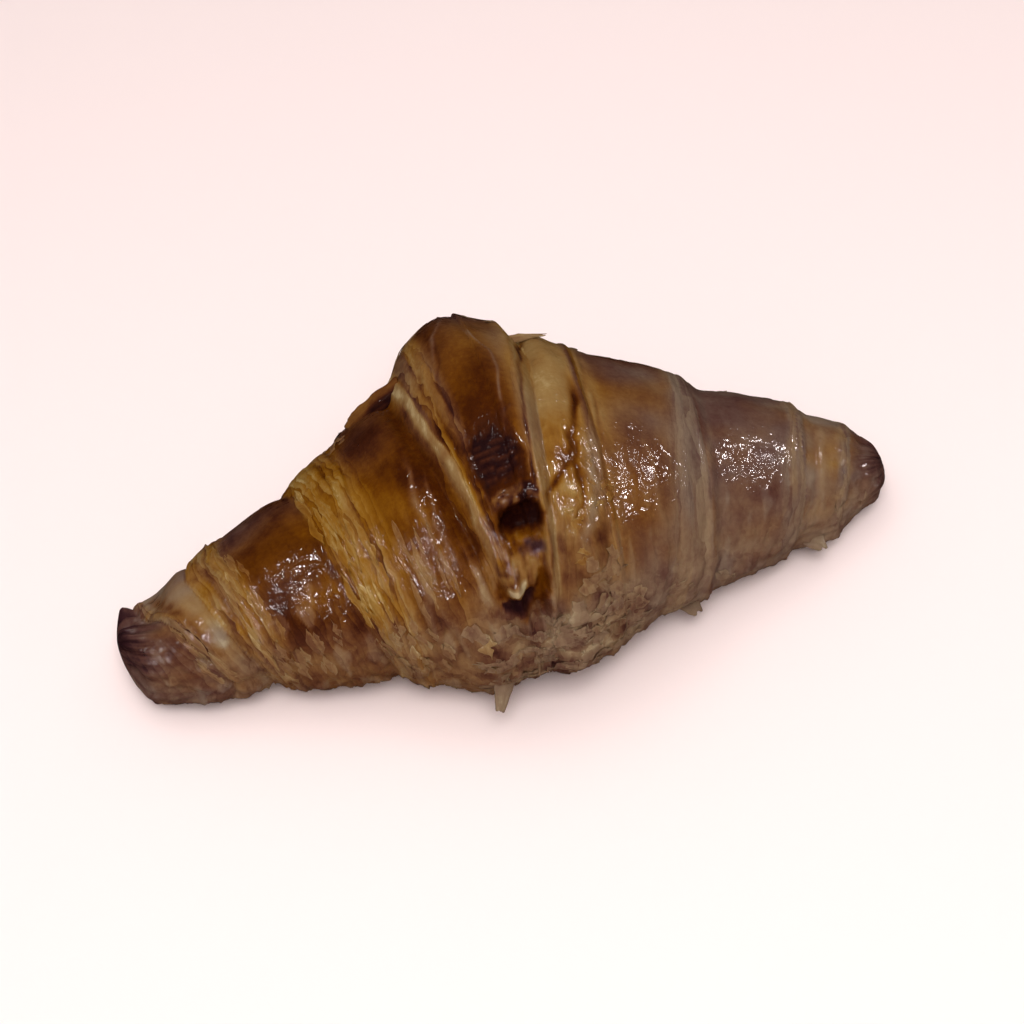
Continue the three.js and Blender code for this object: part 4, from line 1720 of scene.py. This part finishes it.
class NodeSheet:
    """Lays out a material's nodes in code."""

    def __init__(self, name: str) -> None:
        """Start a material with an empty sheet.

        Args:
            name: the material's name.
        """
        self.material = bpy.data.materials.new(name)
        self.material.use_nodes = True
        self.tree = self.material.node_tree
        self.tree.nodes.clear()

    def add(self, kind: str, inputs: dict | None = None, **settings: object) -> bpy.types.Node:
        """Add a node.

        Args:
            kind: the node's type.
            inputs: socket name or number to a value or to another node's output.
            settings: properties of the node.

        Returns:
            The new node.
        """
        node = self.tree.nodes.new(kind)
        for key, value in settings.items():
            setattr(node, key, value)
        for key, value in (inputs or {}).items():
            socket = node.inputs[key]
            if isinstance(value, Socket):
                self.tree.links.new(value, socket)
            else:
                socket.default_value = value
        return node

    def mask(self, name: str) -> Socket:
        """Read one of the masks kept on the mesh."""
        return self.add("ShaderNodeAttribute", attribute_name=name).outputs["Fac"]

    def vector(self, name: str) -> Socket:
        """Read a vector kept on the mesh."""
        return self.add("ShaderNodeAttribute", attribute_name=name).outputs["Vector"]

    def math(self, operation: str, first: object, second: object = 0.0,
             clamp: bool = False) -> Socket:
        """Combine two values."""
        node = self.add("ShaderNodeMath", {0: first, 1: second}, operation=operation, use_clamp=clamp)
        return node.outputs[0]

    def shift(self, operation: str, first: object, second: object) -> Socket:
        """Combine two vectors."""
        return self.add("ShaderNodeVectorMath", {0: first, 1: second}, operation=operation).outputs[0]

    def ramp(self, value: Socket, stops: tuple) -> Socket:
        """Turn a value into a colour.

        Args:
            value: from 0 to 1.
            stops: pairs of position and colour.

        Returns:
            The colour.
        """
        node = self.add("ShaderNodeValToRGB", {0: value})
        elements = node.color_ramp.elements
        while len(elements) < len(stops):
            elements.new(0.5)
        for element, (position, colour) in zip(elements, stops):
            element.position = position
            element.color = (*colour, 1.0)
        return node.outputs["Color"]

    def noise(self, where: Socket, scale: float, detail: float, rough: float,
              distortion: float = 0.0, output: str = "Fac") -> Socket:
        """Read noise at a place.

        Args:
            where: the place.
            scale: grains for each unit of the place.
            detail: how many finer noises lie on it.
            rough: how strong those are.
            distortion: how much it is bent.
            output: Fac for a value round 0.5, or Color for three of them.

        Returns:
            The noise.
        """
        node = self.add("ShaderNodeTexNoise", {"Vector": where, "Scale": scale, "Detail": detail,
                                               "Roughness": rough, "Distortion": distortion})
        return node.outputs[output]

    def blend(self, share: object, first: object, second: object) -> Socket:
        """Blend two colours."""
        return self.add("ShaderNodeMix", {"Factor": share, 6: first, 7: second}, data_type="RGBA").outputs[2]

    def bent(self, where: object, colour: object, reach: tuple) -> Socket:
        """Move a coordinate by a colour round 0.5, up to half the reach each way."""
        away = self.shift("SUBTRACT", colour, (0.5, 0.5, 0.5))
        return self.shift("ADD", where, self.shift("MULTIPLY", away, reach))

    def total(self, *parts: tuple) -> Socket:
        """Add up values.

        Args:
            parts: for each value its middle, which is taken off it, its weight, and the mask that
                the weight is for, if it isn't for the whole surface.

        Returns:
            The sum.
        """
        result = None
        for value, middle, weight, *masks in parts:
            for mask in masks:
                weight = self.math("MULTIPLY", mask, weight)
            term = self.math("MULTIPLY", self.math("SUBTRACT", value, middle) if middle else value, weight)
            result = term if result is None else self.math("ADD", result, term)
        return result

    def between(self, value: Socket, low: float, high: float, first: float = 0.0,
                last: float = 1.0) -> Socket:
        """Map a value from one range onto another, held at both ends."""
        return self.add("ShaderNodeMapRange", {"Value": value, "From Min": low, "From Max": high,
                                               "To Min": first, "To Max": last}).outputs[0]

    def scaled(self, where: Socket, scale: tuple[float, float, float]) -> Socket:
        """Stretch a coordinate."""
        return self.add("ShaderNodeMapping", {"Vector": where, "Scale": scale}).outputs[0]

    def plates(self, where: Socket, rim_width: float) -> Plates:
        """Split a surface into plates.

        Args:
            where: coordinate, about one plate for each unit.
            rim_width: width of the rim that is marked.

        Returns:
            Tone, rim and slope of each plate.
        """
        cell = self.add("ShaderNodeTexVoronoi", {"Vector": where, "Scale": 1.0})
        tone = self.add("ShaderNodeSeparateColor", {0: cell.outputs["Color"]}).outputs[0]
        edge = self.add("ShaderNodeTexVoronoi", {"Vector": where, "Scale": 1.0}, feature="DISTANCE_TO_EDGE")
        rim = self.between(edge.outputs["Distance"], 0.0, rim_width, 1.0, 0.0)
        off = self.shift("SUBTRACT", where, cell.outputs["Position"])
        slope = self.add("ShaderNodeSeparateXYZ", {0: off}).outputs[0]
        return Plates(tone, rim, slope)


@dataclass(frozen=True)
class BakedCrust:
    """Egg-washed crust: colour by bake and cool tint, painted shade and sheen among them, gloss by wash,
    fibres along the layers, wrinkled glaze.
    """

    warm: tuple = (
        (0.00, (0.420, 0.310, 0.130)), (0.18, (0.250, 0.140, 0.032)), (0.34, (0.205, 0.088, 0.008)),
        (0.50, (0.150, 0.054, 0.002)), (0.62, (0.100, 0.029, 0.0006)), (0.78, (0.044, 0.009, 0.0006)),
        (1.00, (0.010, 0.0015, 0.001)),
    )
    dull_and_sheen: tuple = (
        (0.00, (0.340, 0.290, 0.190)), (0.20, (0.205, 0.148, 0.098)), (0.40, (0.150, 0.100, 0.070)),
        (0.55, (0.106, 0.060, 0.045)), (0.70, (0.074, 0.032, 0.025)), (0.85, (0.032, 0.011, 0.012)),
        (1.00, (0.014, 0.004, 0.006)),
    )
    sliver_scale: tuple[float, float, float] = (0.62, 0.060, 0.0)
    flake_scale: float = 420.0
    fibre_scale: tuple[float, float, float] = (1.5, 0.15, 1.0)
    wrinkle_scale: float = 400.0
    crackle_scale: float = 950.0
    grit_scale: float = 1500.0
    ripple: float = 1.8
    ripple_below: float = 0.4
    ripple_crest: float = 0.012
    crackle: float = 0.22
    grit: float = 0.06
    dull_roughness: float = 0.60
    washed_roughness: float = -0.22
    coat_roughness: float = 0.10
    refraction: float = 1.45
    specular: float = 0.02

    def build(self) -> bpy.types.Material:
        """Make the material.

        Returns:
            The crust's material.
        """
        s = NodeSheet("baked_crust")
        place = s.add("ShaderNodeTexCoord").outputs["Object"]
        bake, wash, dust, cool, layers = (s.mask(name) for name in MASKS)
        bend = s.noise(place, 240.0, 2.0, 0.5, output="Color")
        flow = s.bent(s.vector("flow"), bend, (1.8, 6.0, 0.0))
        slivers = s.plates(s.scaled(flow, self.sliver_scale), 0.10)
        flakes = s.plates(s.scaled(s.bent(place, bend, (0.006,) * 3), (self.flake_scale,) * 3), 0.08)
        fibres = s.noise(s.scaled(flow, self.fibre_scale), 1.0, 3.0, 0.55)
        speckle = s.noise(place, 900.0, 4.0, 0.65)
        cloud = s.noise(place, 130.0, 3.0, 0.55)
        # painted shade: each sliver is darker where its bump sinks, with a dark rim line
        shift = s.total((fibres, 0.5, 0.34, layers), (fibres, 0.5, 0.02), (slivers.tone, 0.5, 0.36, layers),
                        (slivers.slope, 0.0, 0.22, layers), (slivers.rim, 0.0, 0.05, layers),
                        (flakes.tone, 0.5, 0.28, dust), (flakes.rim, 0.0, -0.05, dust),
                        (speckle, 0.5, 0.22), (cloud, 0.5, 0.26))
        baked = s.math("ADD", bake, shift, clamp=True)
        # the cool tint blends towards the lavender ramp: duller crust and painted sheen
        colour = s.blend(cool, s.ramp(baked, self.warm), s.ramp(baked, self.dull_and_sheen))
        away = s.math("SUBTRACT", s.noise(place, self.wrinkle_scale, 1.5, 0.45, 0.5), 0.5)
        crest = s.math("SQRT", s.math("ADD", s.math("MULTIPLY", away, away), self.ripple_crest ** 2))
        film = s.between(s.noise(place, 110.0, 2.0, 0.5), 0.44, 0.54, 0.30, 1.0)
        bare = s.math("SUBTRACT", 1.3, film)
        wet = s.math("MULTIPLY", s.between(wash, 0.45, 1.0, 0.10, 1.0), film)
        grit = s.noise(place, self.grit_scale, 2.0, 0.5)
        cracks = s.noise(place, self.crackle_scale, 1.0, 0.5, 0.3)
        cracks = s.math("ABSOLUTE", s.math("SUBTRACT", cracks, 0.5))
        crust = s.total((grit, 0.5, self.grit, bare), (fibres, 0.5, 0.36, layers),
                        (slivers.tone, 0.5, 0.16, layers), (slivers.slope, 0.0, -0.45, layers),
                        (flakes.tone, 0.5, 0.35, dust), (flakes.slope, 0.0, 0.4, dust),
                        (crest, 0.0, -self.ripple_below, wet))
        glaze = s.total((crust, 0.0, 1.0), (crest, 0.0, -self.ripple, wet), (cracks, 0.0, -self.crackle, wet))
        bump, glaze_bump = (s.add("ShaderNodeBump", {"Strength": 1.0, "Distance": MM, "Height": height})
                            for height in (crust, glaze))
        gloss = s.math("ADD", self.dull_roughness, s.math("MULTIPLY", wash, self.washed_roughness))
        shader = s.add("ShaderNodeBsdfPrincipled", {
            "Base Color": colour, "Roughness": s.total((gloss, 0.0, 1.0), (speckle, 0.5, 0.2)),
            "IOR": self.refraction, "Specular IOR Level": self.specular,
            "Coat Weight": s.math("MULTIPLY", s.between(wash, 0.2, 1.0, 0.05, 1.0), film),
            "Coat Roughness": self.coat_roughness, "Normal": bump.outputs[0],
            "Coat Normal": glaze_bump.outputs[0]})
        s.add("ShaderNodeOutputMaterial", {"Surface": shader.outputs[0]})
        return s.material


@dataclass(frozen=True)
class PaleFloor:
    """Plain pale sweep under the croissant."""

    colour: tuple[float, float, float] = (0.93, 0.80, 0.79)
    roughness: float = 0.9
    specular: float = 0.1
    size: float = 6.0

    def build(self) -> Piece:
        """Lay the floor."""
        s = NodeSheet("pale_floor")
        shader = s.add("ShaderNodeBsdfPrincipled", {
            "Base Color": (*self.colour, 1.0), "Roughness": self.roughness,
            "Specular IOR Level": self.specular})
        s.add("ShaderNodeOutputMaterial", {"Surface": shader.outputs[0]})
        select_none()
        bpy.ops.mesh.primitive_plane_add(size=self.size)
        floor = take_new("studio_floor")
        floor.visible_glossy = False
        floor.data.materials.append(s.material)
        return floor


@dataclass(frozen=True)
class SmallLamp:
    """A lamp that only the glaze reflects: its direction as the camera sees it, and its light."""

    sideways: float
    upward: float
    outward: float
    power: float
    size: float = 0.026
    colour: tuple[float, float, float] = (1.0, 0.90, 0.90)


@dataclass(frozen=True)
class Studio:
    """Soft light from above and in front, small lamps for the glints, and the camera."""

    azimuth: float = -10.0
    elevation: float = 50.0
    roll: float = -6.2
    distance: float = 0.42669
    target: tuple[float, float, float] = (0.00196, -0.00068, 0.020)
    lens: float = 70.0
    sensor: float = 36.0
    nearest: float = 0.01
    soft_colour: tuple[float, float, float] = (1.0, 0.97, 0.95)
    top_power: float = 5.1
    top_size: float = 1.1
    top_place: tuple[float, float, float] = (-0.1, -0.1, 1.1)
    front_power: float = 3.95
    front_size: float = 0.35
    front_away: float = 0.8
    front_above: float = 0.15
    aim_height: float = 0.02
    lamp_distance: float = 0.5
    glint_lamps: tuple[SmallLamp, ...] = (
        SmallLamp(-0.45, 0.05, 0.89, 0.85), SmallLamp(-0.74, -0.02, 0.67, 0.51),
        SmallLamp(-0.48, 0.48, 0.73, 0.765), SmallLamp(0.66, 0.56, 0.50, 0.85),
        SmallLamp(0.78, 0.56, 0.28, 0.765), SmallLamp(0.60, 0.72, 0.35, 0.425),
    )
    sheen_lamp: SmallLamp = SmallLamp(0.69, 0.58, 0.43, 0.08, 0.17, (0.93, 0.86, 1.0))
    world_colour: tuple[float, float, float] = (1.0, 0.93, 0.91)
    world_strength: float = 0.45

    def _axes(self) -> tuple[Vector, Vector, Vector]:
        """Work out the camera's right, up and back directions."""
        a, e, r = (math.radians(v) for v in (self.azimuth, self.elevation, self.roll))
        back = Vector((math.sin(a) * math.cos(e), -math.cos(a) * math.cos(e), math.sin(e)))
        right = Vector((math.cos(a), math.sin(a), 0.0))
        up = back.cross(right)
        return (right * math.cos(r) + up * math.sin(r), up * math.cos(r) - right * math.sin(r), back)

    def _area(self, name: str, place: Vector, size: float, power: float, colour: tuple,
              glints: bool = False) -> None:
        """Hang one square lamp, aimed at the croissant.

        Args:
            name: the lamp's name.
            place: where it hangs.
            size: its width.
            power: its power.
            colour: its colour.
            glints: whether it only shines back from the glaze, and otherwise only lights the crust.
        """
        lamp = bpy.data.lights.new(name, "AREA")
        lamp.shape = "SQUARE"
        lamp.size = size
        lamp.energy = power
        lamp.color = colour
        holder = bpy.data.objects.new(name, lamp)
        bpy.context.scene.collection.objects.link(holder)
        turn = (place - Vector((0, 0, self.aim_height))).to_track_quat("Z", "Y")
        holder.matrix_world = Matrix.Translation(place) @ turn.to_matrix().to_4x4()
        holder.visible_glossy = glints
        holder.visible_diffuse = not glints

    def _lights(self, target: Vector, right: Vector, up: Vector, back: Vector) -> None:
        """Hang the two soft lights and the small lamps.

        Args:
            target: what the camera looks at.
            right: the camera's right.
            up: its up.
            back: its back.
        """
        front = target + back * self.front_away + up * self.front_above
        self._area("top_light", Vector(self.top_place), self.top_size, self.top_power, self.soft_colour)
        self._area("front_light", front, self.front_size, self.front_power, self.soft_colour)
        lamps = [(f"glint_lamp_{number + 1}", lamp) for number, lamp in enumerate(self.glint_lamps)]
        for name, lamp in (*lamps, ("sheen_lamp_1", self.sheen_lamp)):
            away = right * lamp.sideways + up * lamp.upward + back * lamp.outward
            self._area(name, target + self.lamp_distance * away, lamp.size, lamp.power, lamp.colour, True)

    def build(self) -> None:
        """Set up the camera, lamps and surroundings."""
        right, up, back = self._axes()
        target = Vector(self.target)
        camera_data = bpy.data.cameras.new("camera")
        camera_data.lens = self.lens
        camera_data.sensor_width = self.sensor
        camera_data.clip_start = self.nearest
        camera = bpy.data.objects.new("camera", camera_data)
        bpy.context.scene.collection.objects.link(camera)
        turn = Matrix((right, up, back)).transposed().to_4x4()
        camera.matrix_world = Matrix.Translation(target + back * self.distance) @ turn
        bpy.context.scene.camera = camera
        self._lights(target, right, up, back)
        world = bpy.data.worlds.new("surroundings")
        world.use_nodes = True
        background = world.node_tree.nodes["Background"]
        background.inputs["Color"].default_value = (*self.world_colour, 1.0)
        background.inputs["Strength"].default_value = self.world_strength
        world.cycles_visibility.glossy = False
        bpy.context.scene.world = world
        bpy.context.scene.view_settings.view_transform = "Standard"


def main() -> None:
    """Build the croissant, light it and report each piece."""
    logging.basicConfig(level=logging.INFO, format="%(name)s: %(message)s")
    form = DoughForm()
    crust = BakedCrust().build()
    skin = CrustSkin(form)
    CrustBody(skin, crust).build()
    CrustFlakes(skin, crust).build()
    LooseLeaves(form, crust).build()
    PaleFloor().build()
    Studio().build()


if __name__ == "__main__":
    main()
